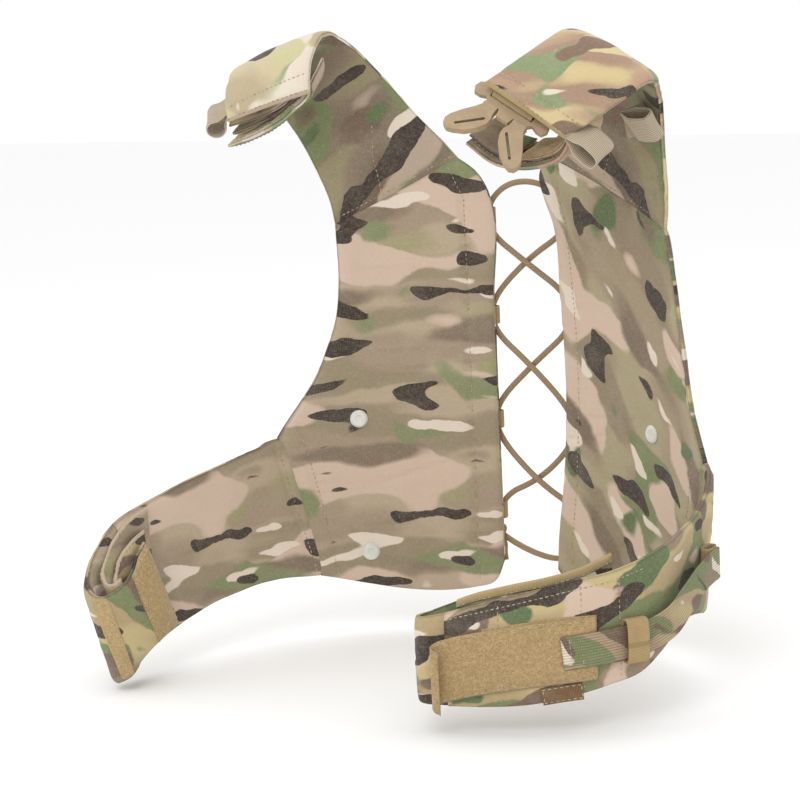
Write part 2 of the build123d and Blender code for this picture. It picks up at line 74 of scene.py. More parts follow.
# ---------------------------------------------------------------- node materials
class Nodes:
    """Short words for building a material's nodes."""

    def __init__(self, name):
        self.material = bpy.data.materials.new(name)
        self.material.use_nodes = True
        self.tree = self.material.node_tree
        self.shader = self.tree.nodes["Principled BSDF"]
        self.shader.inputs["Roughness"].default_value = 0.9
        self.shader.inputs["Specular IOR Level"].default_value = 0.2

    def put(self, socket, value):
        if isinstance(value, bpy.types.NodeSocket):
            self.tree.links.new(value, socket)
        else:
            socket.default_value = value

    def node(self, kind, *values, **settings):
        made = self.tree.nodes.new("ShaderNode" + kind)
        for key, value in settings.items():
            setattr(made, key, value)
        for socket, value in zip(made.inputs, values):
            if value is not None:
                self.put(socket, value)
        return made

    def place(self):
        """Place on the cloth, in metres along and across its weave."""
        return self.node("Attribute", attribute_name="cloth").outputs["Vector"]

    def math(self, operation, *values):
        return self.node("Math", *values, operation=operation).outputs[0]

    def vector(self, operation, *values):
        return self.node("VectorMath", *values, operation=operation).outputs[0]

    def split(self, vector):
        return self.node("SeparateXYZ", vector).outputs

    def wave(self, axis, pitch):
        return self.math("SINE", self.math("MULTIPLY", axis, 2 * math.pi / pitch))

    def noise(self, place, scale, detail=2.0, rough=0.5, colour=False):
        made = self.node("TexNoise")
        self.put(made.inputs["Vector"], place)
        made.inputs["Scale"].default_value = scale
        made.inputs["Detail"].default_value = detail
        made.inputs["Roughness"].default_value = rough
        return made.outputs["Color" if colour else "Fac"]

    def step(self, value, low, high):
        made = self.node("MapRange", value, low, high, 0.0, 1.0)
        made.interpolation_type = "SMOOTHSTEP"
        return made.outputs[0]

    def mix(self, share, a, b):
        made = self.node("Mix", data_type="RGBA")
        self.put(made.inputs[0], share)
        self.put(made.inputs[6], a)
        self.put(made.inputs[7], b)
        return made.outputs[2]

    def scaled(self, place, x, y, shift=(0, 0, 0)):
        return self.vector("ADD", self.vector("MULTIPLY", place, (x, y, 1.0)), shift)

    def bump(self, height, strength, distance, normal=None):
        made = self.node("Bump")
        made.inputs["Strength"].default_value = strength
        made.inputs["Distance"].default_value = distance
        self.put(made.inputs["Height"], height)
        if normal is not None:
            self.put(made.inputs["Normal"], normal)
        return made.outputs[0]

    def finish(self, colour, normal=None, roughness=None):
        self.put(self.shader.inputs["Base Color"], colour)
        if normal is not None:
            self.put(self.shader.inputs["Normal"], normal)
        if roughness is not None:
            self.put(self.shader.inputs["Roughness"], roughness)
        return self.material


def srgb(red, green, blue):
    """Linear colour of an 8-bit screen colour."""
    return tuple((c / 255 / 12.92) if c <= 10 else ((c / 255 + 0.055) / 1.055) ** 2.4
                 for c in (red, green, blue)) + (1.0,)


WEAVE_PITCH, RIPSTOP_PITCH = 0.0008, 0.0052
WEAVE_DEPTH, RIB_DEPTH, RUMPLE_DEPTH = 0.00022, 0.0004, 0.0016
THREADS_PER_METRE = 1900


def weave(n, place):
    """Height of a plain weave, with a heavier ripstop thread every few millimetres."""
    x, y, _ = n.split(place)
    height = n.math("MULTIPLY", n.math("MULTIPLY", n.wave(x, WEAVE_PITCH), n.wave(y, WEAVE_PITCH)), 0.5)
    for axis in (x, y):
        saw = n.math("PINGPONG", n.math("ABSOLUTE", axis), RIPSTOP_PITCH / 2)
        height = n.math("ADD", height, n.math("MULTIPLY", n.step(saw, 0.00035, 0.0001), 1.2))
    return height


def camo(name, ground, patches, angle=0.0, shift=(0, 0, 0), rib=0.0):
    """Cloth printed with soft ground colours under crisp rounded patches of its own pattern.

    Each kind of patch has a colour, how many fit in a metre, how rare they are, how soft their edge is and
    how much longer than wide they are.
    """
    n = Nodes(name)
    place = n.place()
    turned = n.node("VectorRotate", place, rotation_type="Z_AXIS")
    turned.inputs["Angle"].default_value = angle
    straight = p = n.vector("ADD", turned.outputs[0], shift)
    for scale, reach in ((34, (0.026, 0.012, 0.0)), (210, (0.0022, 0.0016, 0.0))):
        drift = n.vector("SUBTRACT", n.noise(straight, scale, 1, colour=True), (0.5, 0.5, 0.5))
        p = n.vector("ADD", p, n.vector("MULTIPLY", drift, reach))
    colour = n.mix(n.step(n.noise(n.scaled(p, 0.55, 1.5), 17, 1.0), 0.44, 0.56), ground[0], ground[1])
    colour = n.mix(n.step(n.noise(n.scaled(p, 0.4, 1.5, (3.1, 7.2, 1.0)), 19, 1.5), 0.50, 0.60),
                   colour, ground[2])
    for index, (tint, scale, rare, soft, stretch) in enumerate(patches):
        q = n.scaled(p, 1.0 / stretch, 1.0, (1.7 * index + 0.3, 4.3 * index + 0.7, 2.1 * index))
        colour = n.mix(n.step(n.noise(q, scale, 0.25), rare, rare + soft), colour, tint)
    worn = n.step(n.noise(n.scaled(p, 1, 1, (9, 9, 9)), 26, 4, 0.65), 0.45, 0.75)
    colour = n.mix(n.math("MULTIPLY", worn, 0.14), colour, DUST)
    warp, weft = (n.step(n.noise(threads, THREADS_PER_METRE, 2, 0.7), 0.45, 0.75) for threads in (
        n.scaled(place, 1.0, 0.12), n.scaled(place, 0.12, 1.0, (5, 5, 5))))
    colour = n.mix(n.math("MULTIPLY", n.math("ADD", warp, weft), 0.13), colour, PALE_THREAD)
    if rib:
        height, depth = n.wave(n.split(place)[1], rib), RIB_DEPTH
        colour = n.mix(n.math("MULTIPLY", n.step(height, 0.2, -0.9), 0.35), colour, RIB_SHADE)
    else:
        height, depth = weave(n, place), WEAVE_DEPTH
    n.shader.inputs["Sheen Weight"].default_value = 0.10
    n.shader.inputs["Sheen Roughness"].default_value = 0.6
    fine = n.bump(height, 0.4, depth)
    return n.finish(colour, n.bump(n.noise(place, 75, 2, 0.5), 0.12, RUMPLE_DEPTH, fine))


CREAM, PINK = srgb(221, 207, 189), srgb(204, 180, 160)
GREEN, DEEP_GREEN = srgb(118, 126, 84), srgb(90, 108, 68)
DARK, UMBER = srgb(58, 46, 38), srgb(112, 92, 74)
DUST, PALE_THREAD, RIB_SHADE = srgb(190, 178, 160), srgb(222, 214, 198), srgb(70, 60, 48)

LINING = camo("lining_camo", (srgb(160, 141, 119), srgb(178, 160, 134), srgb(148, 133, 108)), [
    (srgb(154, 149, 108), 17, 0.56, 0.10, 2.2), (PINK, 20, 0.55, 0.03, 1.9),
    (srgb(128, 111, 92), 30, 0.61, 0.09, 2.8), (srgb(128, 134, 94), 26, 0.67, 0.05, 1.6),
    (CREAM, 62, 0.69, 0.03, 3.0), (DARK, 52, 0.645, 0.012, 2.7)],
    shift=(0.31, 0.12, 0))
LINING_SLANT = camo("lining_camo_slant", (srgb(156, 139, 113), srgb(164, 152, 120), srgb(140, 125, 101)), [
    (GREEN, 24, 0.60, 0.05, 1.8), (PINK, 22, 0.56, 0.03, 2.0), (srgb(120, 102, 84), 30, 0.61, 0.08, 2.8),
    (DEEP_GREEN, 32, 0.69, 0.04, 1.6), (CREAM, 60, 0.68, 0.03, 2.8), (DARK, 50, 0.635, 0.012, 2.5)],
    angle=0.95, shift=(0.11, 0.52, 0))
YOKE_CAMO = camo("yoke_camo", (srgb(132, 115, 95), srgb(144, 134, 100), srgb(122, 108, 88)), [
    (GREEN, 22, 0.58, 0.04, 1.5), (srgb(176, 156, 136), 22, 0.60, 0.04, 2.0), (UMBER, 30, 0.60, 0.06, 2.4),
    (DEEP_GREEN, 30, 0.67, 0.04, 1.5), (CREAM, 50, 0.71, 0.03, 2.6), (DARK, 44, 0.64, 0.012, 2.6)],
    angle=0.5, shift=(0.7, 0.2, 0))
SHELL = camo("shell_camo", (srgb(172, 152, 112), srgb(190, 172, 124), srgb(142, 122, 97)), [
    (GREEN, 24, 0.54, 0.025, 1.4), (srgb(116, 94, 78), 34, 0.58, 0.02, 1.6), (PINK, 34, 0.66, 0.03, 1.6),
    (DEEP_GREEN, 36, 0.65, 0.03, 1.6), (CREAM, 70, 0.71, 0.03, 2.0), (DARK, 46, 0.625, 0.012, 2.2)],
    angle=0.25, shift=(0.2, 0.9, 0))
STRAP_PALE = camo("strap_camo_pale", (srgb(200, 186, 150), srgb(196, 190, 146), srgb(182, 166, 134)), [
    (srgb(150, 162, 120), 26, 0.55, 0.04, 1.5), (srgb(222, 212, 192), 26, 0.58, 0.03, 1.6),
    (srgb(150, 126, 104), 36, 0.64, 0.03, 1.8), (CREAM, 52, 0.64, 0.03, 1.8), (DARK, 44, 0.675, 0.012, 2.4)],
    angle=0.6, shift=(0.47, 0.30, 0))
STRAP_WARM = camo("strap_camo_warm", (srgb(178, 146, 120), srgb(206, 186, 136), srgb(162, 132, 108)), [
    (srgb(132, 146, 104), 30, 0.60, 0.02, 1.4), (srgb(212, 194, 148), 24, 0.57, 0.02, 1.6),
    (srgb(128, 102, 84), 38, 0.65, 0.02, 1.8), (CREAM, 60, 0.70, 0.03, 1.8), (DARK, 50, 0.70, 0.012, 2.4)],
    angle=0.6, shift=(0.62, 0.83, 0))
STRAP_SHELL = {RIGHT: STRAP_PALE, LEFT: STRAP_WARM}
WEBBING_CAMO = camo("webbing_camo", (srgb(166, 142, 116), srgb(184, 168, 120), srgb(140, 118, 96)), [
    (GREEN, 36, 0.56, 0.02, 1.8), (srgb(112, 90, 74), 40, 0.61, 0.02, 2.0), (CREAM, 60, 0.66, 0.03, 1.6),
    (DARK, 48, 0.66, 0.012, 2.0)], angle=0.8, shift=(0.8, 0.1, 0), rib=0.0021)


def ribbed(name, dark, light, pitch, along=0):
    """Woven tape or elastic with raised ribs across its length."""
    n = Nodes(name)
    place = n.place()
    axes = n.split(place)
    rib, cross = n.wave(axes[along], pitch), n.wave(axes[1 - along], pitch * 0.55)
    height = n.math("ADD", n.math("MULTIPLY", rib, 0.5), n.math("MULTIPLY", cross, 0.25))
    # painted shade and highlight: the colour follows the rib height, darker in the troughs between ribs and
    # lighter on their crests
    colour = n.mix(n.step(rib, -0.6, 0.7), dark, light)
    worn = n.step(n.noise(place, 60, 4, 0.7), 0.35, 0.7)
    return n.finish(n.mix(n.math("MULTIPLY", worn, 0.2), colour, DUST), n.bump(height, 0.6, RIB_DEPTH))


WEBBING_TAN = ribbed("webbing_tan", srgb(150, 129, 94), srgb(176, 154, 114), 0.0016)
ELASTIC = ribbed("ribbed_elastic", srgb(156, 140, 116), srgb(196, 183, 162), 0.0017, along=1)
KEEPER_ELASTIC = ribbed("keeper_elastic", srgb(164, 136, 92), srgb(182, 154, 108), 0.0012)
GOLD_TAPE = ribbed("gold_edge_tape", srgb(168, 144, 100), srgb(192, 168, 122), 0.0012)
HEM = ribbed("pale_hem", srgb(182, 158, 138), srgb(212, 194, 172), 0.0012)
THREAD = ribbed("thread", srgb(158, 142, 116), srgb(190, 176, 150), 0.0009)
LABEL = ribbed("label_cloth", srgb(104, 78, 52), srgb(132, 102, 70), 0.0012)


def braid():
    """Woven cover of the cord: strands that cross each other round it."""
    n = Nodes("cord_braid")
    x, y, _ = n.split(n.place())
    left, right = (n.math("SINE", n.math("MULTIPLY", n.math(way, x, n.math("MULTIPLY", y, 1.6)), 2600))
                   for way in ("ADD", "SUBTRACT"))
    height = n.math("MAXIMUM", left, right)
    # painted shade and highlight: darker where the strands dip between crossings, lighter on their raised tops
    colour = n.mix(n.step(height, -0.1, 0.95), srgb(128, 104, 78), srgb(182, 157, 126))
    return n.finish(colour, n.bump(height, 0.6, 0.0005))


CORD_BRAID = braid()


def fuzzy(name, dark, light):
    """Hook or loop tape: a dense field of tiny nubs, unevenly worn."""
    n = Nodes(name)
    place = n.place()
    cells = n.node("TexVoronoi")
    n.put(cells.inputs["Vector"], place)
    cells.inputs["Scale"].default_value = 1300
    nub = cells.outputs["Distance"]
    patchy = n.noise(place, 330, 4, 0.75)
    broad = n.noise(place, 45, 3, 0.6)
    # painted shade and highlight: darker in the gaps between nubs, lighter on the nub tops
    colour = n.mix(n.step(nub, 0.85, 0.1), dark, light)
    colour = n.mix(n.math("MULTIPLY", n.step(patchy, 0.45, 0.68), 0.5), colour, srgb(204, 182, 138))
    colour = n.mix(n.math("MULTIPLY", n.step(broad, 0.45, 0.70), 0.3), colour, srgb(150, 124, 84))
    n.shader.inputs["Sheen Weight"].default_value = 0.25
    normal = n.bump(n.math("SUBTRACT", 1.0, nub), 0.7, 0.0005)
    return n.finish(colour, n.bump(patchy, 0.5, 0.0008, normal))


HOOK = fuzzy("hook_tape_nap", srgb(152, 125, 84), srgb(186, 160, 114))
LOOP = fuzzy("loop_tape_nap", srgb(164, 138, 96), srgb(194, 168, 122))


def plastic(name, colour, rough, grain):
    """Moulded plastic, faintly scuffed."""
    n = Nodes(name)
    coordinates = n.node("TexCoord").outputs["Object"]
    speck = n.noise(coordinates, 900, 3, 0.6)
    scuff = n.noise(coordinates, 90, 4, 0.7)
    darker = tuple(c * 0.8 for c in colour[:3]) + (1.0,)
    tint = n.mix(n.step(scuff, 0.3, 0.75), darker, colour)
    n.shader.inputs["Specular IOR Level"].default_value = 0.45
    return n.finish(tint, n.bump(speck, grain, 0.0003), n.node(
        "MapRange", scuff, 0.3, 0.7, rough - 0.08, rough + 0.1).outputs[0])


BUCKLE_PLASTIC = plastic("buckle_acetal", srgb(176, 152, 120), 0.5, 0.25)
SNAP_PLASTIC = plastic("snap_acetal", srgb(226, 224, 216), 0.35, 0.08)


# ---------------------------------------------------------------- curves and surfaces
def lengths(points):
    """How far along a curve, or a row of curves, each of its points is."""
    gaps = np.linalg.norm(np.diff(points, axis=0), axis=-1)
    return np.concatenate([[0], np.cumsum(gaps.reshape(len(gaps), -1).mean(1))])


def hermite(points, slopes, k, h, t):
    """Places a share t along the smooth stretches, h long, that start at points k."""
    return ((2 * t ** 3 - 3 * t ** 2 + 1) * points[k] + (t ** 3 - 2 * t ** 2 + t) * h * slopes[k]
            + (-2 * t ** 3 + 3 * t ** 2) * points[k + 1] + (t ** 3 - t ** 2) * h * slopes[k + 1])


def spline(points, count):
    """Evenly spaced samples of a smooth curve, or of a row of curves, through points."""
    points = np.asarray(points, float)
    along = lengths(points)
    wanted = np.linspace(0, along[-1], count + 1)
    k = np.clip(np.searchsorted(along, wanted, side="right") - 1, 0, len(points) - 2)
    h = along[k + 1] - along[k]
    h, t = (values.reshape((-1,) + (1,) * (points.ndim - 1)) for values in (h, (wanted - along[k]) / h))
    return hermite(points, np.gradient(points, along, axis=0), k, h, t)


def unit(vectors):
    return vectors / np.maximum(np.linalg.norm(vectors, axis=-1, keepdims=True), 1e-12)


class Surface:
    """Dense grid of an inner face: rows along it, columns across it, in metres."""

    def __init__(self, grid, sign, cloth=None):
        self.at = np.asarray(grid, float)
        self.out = unit(np.cross(np.gradient(self.at, axis=0), np.gradient(self.at, axis=1)) * sign)
        if cloth is None:
            widths = self.edge_distance("first")
            rows = np.repeat(lengths(self.at)[:, None], widths.shape[1], 1)
            cloth = np.stack([widths - widths[:, -1:] / 2, rows], -1)
        self.cloth = cloth

    def edge_distance(self, which):
        """Metres from one edge: first, last (columns), bottom or top (rows)."""
        axis = 1 if which in ("first", "last") else 0
        steps = np.linalg.norm(np.diff(self.at, axis=axis), axis=-1)
        pad = [(0, 0), (0, 0)]
        pad[axis] = (1, 0)
        run = np.pad(np.cumsum(steps, axis), pad)
        if which in ("last", "top"):
            run = (run[:, -1:] if axis == 1 else run[-1:]) - run
        return run

    def sample(self, values, rows, columns):
        """Bilinear values at fractional rows and columns, both from 0 to 1."""
        j = np.clip(np.asarray(rows) * (values.shape[0] - 1), 0, values.shape[0] - 1 - 1e-9)
        i = np.clip(np.asarray(columns) * (values.shape[1] - 1), 0, values.shape[1] - 1 - 1e-9)
        j0, i0 = j.astype(int), i.astype(int)
        a, b = j - j0, i - i0
        if values.ndim == 3:
            a, b = a[:, None], b[:, None]
        return ((1 - a) * (1 - b) * values[j0, i0] + (1 - a) * b * values[j0, i0 + 1]
                + a * (1 - b) * values[j0 + 1, i0] + a * b * values[j0 + 1, i0 + 1])


def line_field(cloth, line):
    """Distance from each place on the cloth to a drawn line, and how far along the line it is."""
    best = np.full(cloth.shape[:2], 1e9)
    where = np.zeros(cloth.shape[:2])
    start = 0.0
    for a, b in zip(line, line[1:]):
        a, b = np.array(a), np.array(b)
        span = np.linalg.norm(b - a)
        share = np.clip(((cloth - a) @ (b - a)) / span ** 2, 0, 1)
        away = np.linalg.norm(cloth - a - share[..., None] * (b - a), axis=-1)
        closer = away < best
        best[closer] = away[closer]
        where[closer] = (start + share * span)[closer]
        start += span
    return best, where


def waves(cloth, size, seed):
    """Gentle seeded unevenness of cloth, about -1 to 1."""
    rng = np.random.default_rng(seed)
    total = np.zeros(cloth.shape[:2])
    for _ in range(9):
        turn = rng.uniform(0, 2 * math.pi)
        wave = 2 * math.pi / (size * rng.uniform(0.6, 1.9))
        direction = np.array([math.cos(turn), math.sin(turn)])
        total += np.sin(cloth @ direction * wave + rng.uniform(0, 6.3)) / 4
    return total


def creases(cloth, count, seed, angle=0.0, depth=0.0007, wide=0.0032):
    """Seeded narrow folds of limited length, mostly lying along one direction of the cloth."""
    rng = np.random.default_rng(seed)
    low, high = cloth.reshape(-1, 2).min(0), cloth.reshape(-1, 2).max(0)
    total = np.zeros(cloth.shape[:2])
    for _ in range(count):
        middle = low + (high - low) * rng.uniform(0, 1, 2)
        turn = angle + rng.normal(0, 0.35)
        way = np.array([math.cos(turn), math.sin(turn)])
        off = cloth - middle
        along = off @ way
        length = rng.uniform(0.018, 0.05)
        bend = rng.uniform(-3, 3)
        across = off @ np.array([-way[1], way[0]]) + bend * along ** 2
        width = wide * rng.uniform(0.7, 1.6)
        ridge = np.exp(-(across / width) ** 2) - 0.6 * np.exp(-((across - 1.6 * width) / width) ** 2)
        total += depth * rng.uniform(0.4, 1.0) * ridge * np.exp(-(along / length) ** 2)
    return total


# ---------------------------------------------------------------- meshes
class Mesh:
    """Collects parts of one piece, each with a material and places on the cloth."""

    def __init__(self, name):
        self.name = name
        self.points, self.faces, self.marks, self.cloth, self.materials = [], [], [], [], []
        self.count = 0

    def add_faces(self, faces, material):
        self.faces += faces
        self.marks += [self.materials.index(material)] * len(faces)

    def add(self, points, faces, material, cloth):
        """Adds points and the faces on them, and says where its points start."""
        base = self.count
        points = np.asarray(points, float).reshape(-1, 3)
        if material not in self.materials:
            self.materials.append(material)
        self.points.append(points)
        self.cloth.append(np.asarray(cloth, float).reshape(-1, 2))
        self.add_faces([tuple(v + base for v in face) for face in faces], material)
        self.count += len(points)
        return base

    def grid(self, sheet, cloth, material, flip=False, closed=False):
        rows, columns = sheet.shape[:2]
        faces = []
        for j in range(rows - 1):
            for i in range(columns if closed else columns - 1):
                k = (i + 1) % columns
                face = (j * columns + i, j * columns + k, (j + 1) * columns + k, (j + 1) * columns + i)
                faces.append(face[::-1] if flip else face)
        return self.add(sheet, faces, material, cloth)

    def tube(self, rings, cloth, material, capped=True):
        """Tube through rings of points, with flat ends."""
        base = self.grid(rings, cloth, material, closed=True)
        if capped:
            count, size = rings.shape[:2]
            last = base + (count - 1) * size
            self.add_faces([tuple(range(base, base + size))[::-1], tuple(range(last, last + size))], material)

    def slab(self, surface, low, top, low_material, top_material):
        """Closed slab between an inner and an outer grid that lie over a surface."""
        facing = np.cross(np.gradient(surface.at, axis=1), np.gradient(surface.at, axis=0)) * surface.out
        flip = facing.sum(-1).mean() < 0
        base_low = self.grid(low, surface.cloth, low_material, flip=not flip)
        base_top = self.grid(top, surface.cloth, top_material, flip=flip)
        rows, columns = low.shape[:2]
        order = ([(0, i) for i in range(columns)] + [(j, columns - 1) for j in range(1, rows)]
                 + [(rows - 1, i) for i in range(columns - 2, -1, -1)]
                 + [(j, 0) for j in range(rows - 2, 0, -1)])
        rim = []
        for (j, i), (jj, ii) in zip(order, order[1:] + order[:1]):
            a, b = j * columns + i, jj * columns + ii
            face = (base_low + a, base_low + b, base_top + b, base_top + a)
            rim.append(face if flip else face[::-1])
        self.add_faces(rim, top_material)

    def make(self, weld=0.0):
        data = bpy.data.meshes.new(self.name)
        data.from_pydata(np.concatenate(self.points).tolist(), [], self.faces)
        for material in self.materials:
            data.materials.append(material)
        data.polygons.foreach_set("material_index", self.marks)
        data.polygons.foreach_set("use_smooth", [True] * len(self.faces))
        layer = data.attributes.new("cloth", "FLOAT_VECTOR", "POINT")
        flat = np.concatenate(self.cloth)
        layer.data.foreach_set("vector", np.column_stack([flat, np.zeros(len(flat))]).ravel())
        if weld:
            shape = bmesh.new()
            shape.from_mesh(data)
            bmesh.ops.remove_doubles(shape, verts=shape.verts, dist=weld)
            bmesh.ops.recalc_face_normals(shape, faces=shape.faces)
            shape.to_mesh(data)
            shape.free()
        data.update()
        return linked(self.name, data)


def sweep(mesh, path, side, up, profile, material, closed=False):
    """Drags a closed profile, given as (side, up) pairs, along a path with a frame at each point."""
    profile = np.asarray(profile, float)
    ring = path[:, None] + side[:, None] * profile[:, :1] + up[:, None] * profile[:, 1:]
    run = lengths(path)
    cloth = np.stack(np.meshgrid(run, lengths(profile), indexing="ij"), -1)
    if closed:
        ring = np.concatenate([ring, ring[:1]])
        cloth = np.concatenate([cloth, cloth[-1:] + [[[run[-1] / (len(path) - 1), 0]]]])
    mesh.tube(ring, cloth, material, capped=not closed)


def frames(path, up_hint):
    """Side and up along a path, up as near as can be to the hint."""
    run = unit(np.gradient(path, axis=0))
    side = unit(np.cross(run, np.broadcast_to(np.asarray(up_hint, float), path.shape)))
    return side, unit(np.cross(side, run))


STITCH_PITCH, STITCH, STITCH_THICK = 0.0042, 0.0027, 0.00042
STITCH_RINGS = ((-0.5, 0.35, -0.5), (-0.3, 0.9, 0.35), (0.0, 1.0, 0.6), (0.3, 0.9, 0.35), (0.5, 0.35, -0.5))


def stitches(mesh, path, out, lift=0.0):
    """Row of sewn stitches along a path, each a small thread bump standing a little out of the cloth."""
    run = lengths(path)
    count = int(run[-1] / STITCH_PITCH)
    if count < 1:
        return
    mids = (np.arange(count) + 0.5) * run[-1] / count
    place, ahead, behind, normal = (
        np.stack([np.interp(mids + shift, run, values[:, k]) for k in range(3)], 1)
        for values, shift in ((path, 0.0), (path, STITCH / 2), (path, -STITCH / 2), (out, 0.0)))
    way, normal = unit(ahead - behind), unit(normal)
    side = np.cross(way, normal)
    rings = []
    for share, size, rise in STITCH_RINGS:
        centre = place + way * STITCH * share + normal * (lift + STITCH_THICK * rise)
        rings.append(np.stack([centre + STITCH_THICK * size * (side * c + normal * s) for c, s in
                               ((1, 0), (0, 1), (-1, 0), (0, -1))], 1))
    faces = []
    for base in range(0, count * 20, 20):
        for corner in range(base, base + 16, 4):
            faces += [(corner + c, corner + d, corner + 4 + d, corner + 4 + c)
                      for c, d in ((0, 1), (1, 2), (2, 3), (3, 0))]
        faces += [(base + 3, base + 2, base + 1, base), (base + 16, base + 17, base + 18, base + 19)]
    cloth = np.repeat(np.stack([mids, mids * 0], 1)[:, None], 20, 1)
    mesh.add(np.stack(rings, 1), faces, THREAD, cloth)


ALL_EDGES = ("first", "last", "bottom", "top")
CROWN, GROOVE, PUCKER = 0.0006, 0.0034, 0.00035


class Pad:
    """Padded cloth piece on a surface: pinched at its edges, grooved at its seams, bound and stitched."""

    def __init__(self, name, surface, thick, lining, shell, seed, pinch=ALL_EDGES, reach=0.013, edge=0.0016,
                 seams=(), rough=0.0007, size=0.055, folds=0, grain=0.0):
        self.surface = surface
        self.mesh = Mesh(name)
        share = np.ones(surface.at.shape[:2])
        for which in pinch:
            near = np.clip(surface.edge_distance(which) / reach, 0, 1)
            share *= np.sqrt(np.clip(1 - (1 - near) ** 2, 0, 1))
        half = edge + (thick / 2 + CROWN - edge) * share
        groove, pucker = np.zeros_like(half), np.zeros_like(half)
        for line, depth in seams:
            away, along = line_field(surface.cloth, line)
            groove = np.maximum(groove, depth * np.exp(-(away / GROOVE) ** 2))
            pucker += (PUCKER * np.exp(-away / 0.007)
                       * np.sin(along * 2 * math.pi / 0.011 + 3 * np.sin(along * 70)))
        half *= 1 - groove
        middle = thick / 2 + rough * waves(surface.cloth, size, seed) * share + pucker
        half += 0.35 * rough * waves(surface.cloth, size * 0.45, seed + 50) * share
        inside = half - creases(surface.cloth, folds, seed + 70, grain)
        outside = half + creases(surface.cloth, folds, seed + 90, grain)
        self.middle = middle + (outside - inside) / 2
        self.half = (outside + inside) / 2
        self.inner = surface.at + surface.out * (self.middle - self.half)[..., None]
        outer = surface.at + surface.out * (self.middle + self.half)[..., None]
        self.mesh.slab(surface, self.inner, outer, lining, shell)

    def sample(self, rows, columns):
        """Points of the inner face, outward directions, middle and half thickness at shares of the grid."""
        at, out, middle, half = (self.surface.sample(values, rows, columns) for values in (
            self.surface.at, self.surface.out, self.middle, self.half))
        return at, unit(out), middle[:, None], half[:, None]

    def stitch(self, rows, columns, count=160):
        """Stitches on both faces along a line of grid shares."""
        steps, knots = np.linspace(0, 1, count), np.linspace(0, 1, len(rows))
        at, out, middle, half = self.sample(np.interp(steps, knots, rows), np.interp(steps, knots, columns))
        stitches(self.mesh, at + out * (middle + half), out)
        stitches(self.mesh, at + out * (middle - half), -out)

    def stitch_line(self, line):
        """Stitches along a line drawn on the cloth, in the cloth's own metres."""
        cloth = self.surface.cloth
        flat = cloth.reshape(-1, 2)
        fine = []
        for a, b in zip(line, line[1:]):
            a, b = np.array(a), np.array(b)
            fine += [a + (b - a) * t for t in np.linspace(0, 1, max(2, int(np.linalg.norm(b - a) / 0.004)))]
        rows, columns = [], []
        for point in fine:
            nearest = int(((flat - point) ** 2).sum(1).argmin())
            j, i = divmod(nearest, cloth.shape[1])
            j, i = min(max(j, 1), cloth.shape[0] - 2), min(max(i, 1), cloth.shape[1] - 2)
            slopes = np.stack([cloth[j + 1, i] - cloth[j - 1, i], cloth[j, i + 1] - cloth[j, i - 1]], 1) / 2
            dj, di = np.linalg.solve(slopes, point - cloth[j, i])
            rows.append((j + dj) / (cloth.shape[0] - 1))
            columns.append((i + di) / (cloth.shape[1] - 1))
        self.stitch(np.clip(rows, 0, 1), np.clip(columns, 0, 1), len(rows) * 3)

    def bind(self, which, width, material, proud=0.0005, start=0.0):
        """Folded tape sewn over one edge, with a row of stitches on each face."""
        share = np.linspace(start, 1.0, 150)
        fixed = {"first": 0.0, "last": 1.0, "bottom": 0.0, "top": 1.0}[which]
        by_row = which in ("first", "last")
        length = float(self.surface.edge_distance(which).max(1 if by_row else 0).mean())
        legs = []
        for reach in BIND_SHARES:
            other = np.full_like(share, fixed + (-1 if fixed else 1) * reach * width / length)
            at, out, middle, half = self.sample(*((share, other) if by_row else (other, share)))
            lift = half + (proud if legs else -0.0004)
            legs.append((at + out * (middle + lift), at + out * (middle - lift), at, out, middle))
        last = legs[-1]
        tip = last[2] + last[3] * last[4] + unit(last[2] - legs[-2][2]) * (0.0008 + proud)
        high = [leg[1] + leg[3] * TAPE_THICK for leg in legs[:-1]]
        low = [leg[0] - leg[3] * TAPE_THICK for leg in legs[:-1]]
        ring = [leg[0] for leg in legs] + [tip] + [leg[1] for leg in legs[::-1]] + high + low[::-1]
        ring = np.stack(ring, 1)
        cloth = np.stack(np.meshgrid(lengths(tip), np.arange(ring.shape[1]) * 0.0015, indexing="ij"), -1)
        self.mesh.tube(ring, cloth, material)
        stitches(self.mesh, legs[1][0], legs[1][3])
        stitches(self.mesh, legs[1][1], -legs[1][3])


BIND_SHARES, TAPE_THICK = (1.0, 0.72, 0.45, 0.2, 0.04), 0.0009


# ---------------------------------------------------------------- outlines, as in the CAD model
TORSO_RADIUS, TORSO_CENTRE_Y = 248 * MM, -144 * MM
PAD, THIN_PAD = 8 * MM, 5 * MM
CENTRE_EDGE = {
    RIGHT: [(29, 34), (29, 150), (29, 260), (29, 345), (34, 358), (41, 368), (55, 379)],
    LEFT: [(21, 29), (23, 55), (30, 107), (35, 170), (35, 220), (33, 261), (28, 326), (21, 345), (17, 362),
           (24, 381)],
}
BOTTOM_EDGE = {
    RIGHT: [(29, 34), (40, 13), (54, 9), (75, 6), (97, 6), (119, 9), (139, 14), (171.5, 24.5)],
    LEFT: [(21, 29), (33, 13), (52, 9), (75, 6), (97, 6), (119, 9), (139, 14), (171.5, 24.5)],
}
YOKE_SEAM = {RIGHT: [(55, 379), (150, 328)], LEFT: [(24, 381), (147, 325)]}
WING_SEAM = [(171.5, 24.5), (180, 85), (192.5, 149)]
ARMHOLE = {
    RIGHT: [(192.5, 149), (188, 159), (179, 176), (167, 200), (160, 221), (153, 246), (150, 272), (150, 328)],
    LEFT: [(192.5, 149), (186, 161), (176, 180), (165, 232), (157, 279), (151, 310), (147, 325)],
}
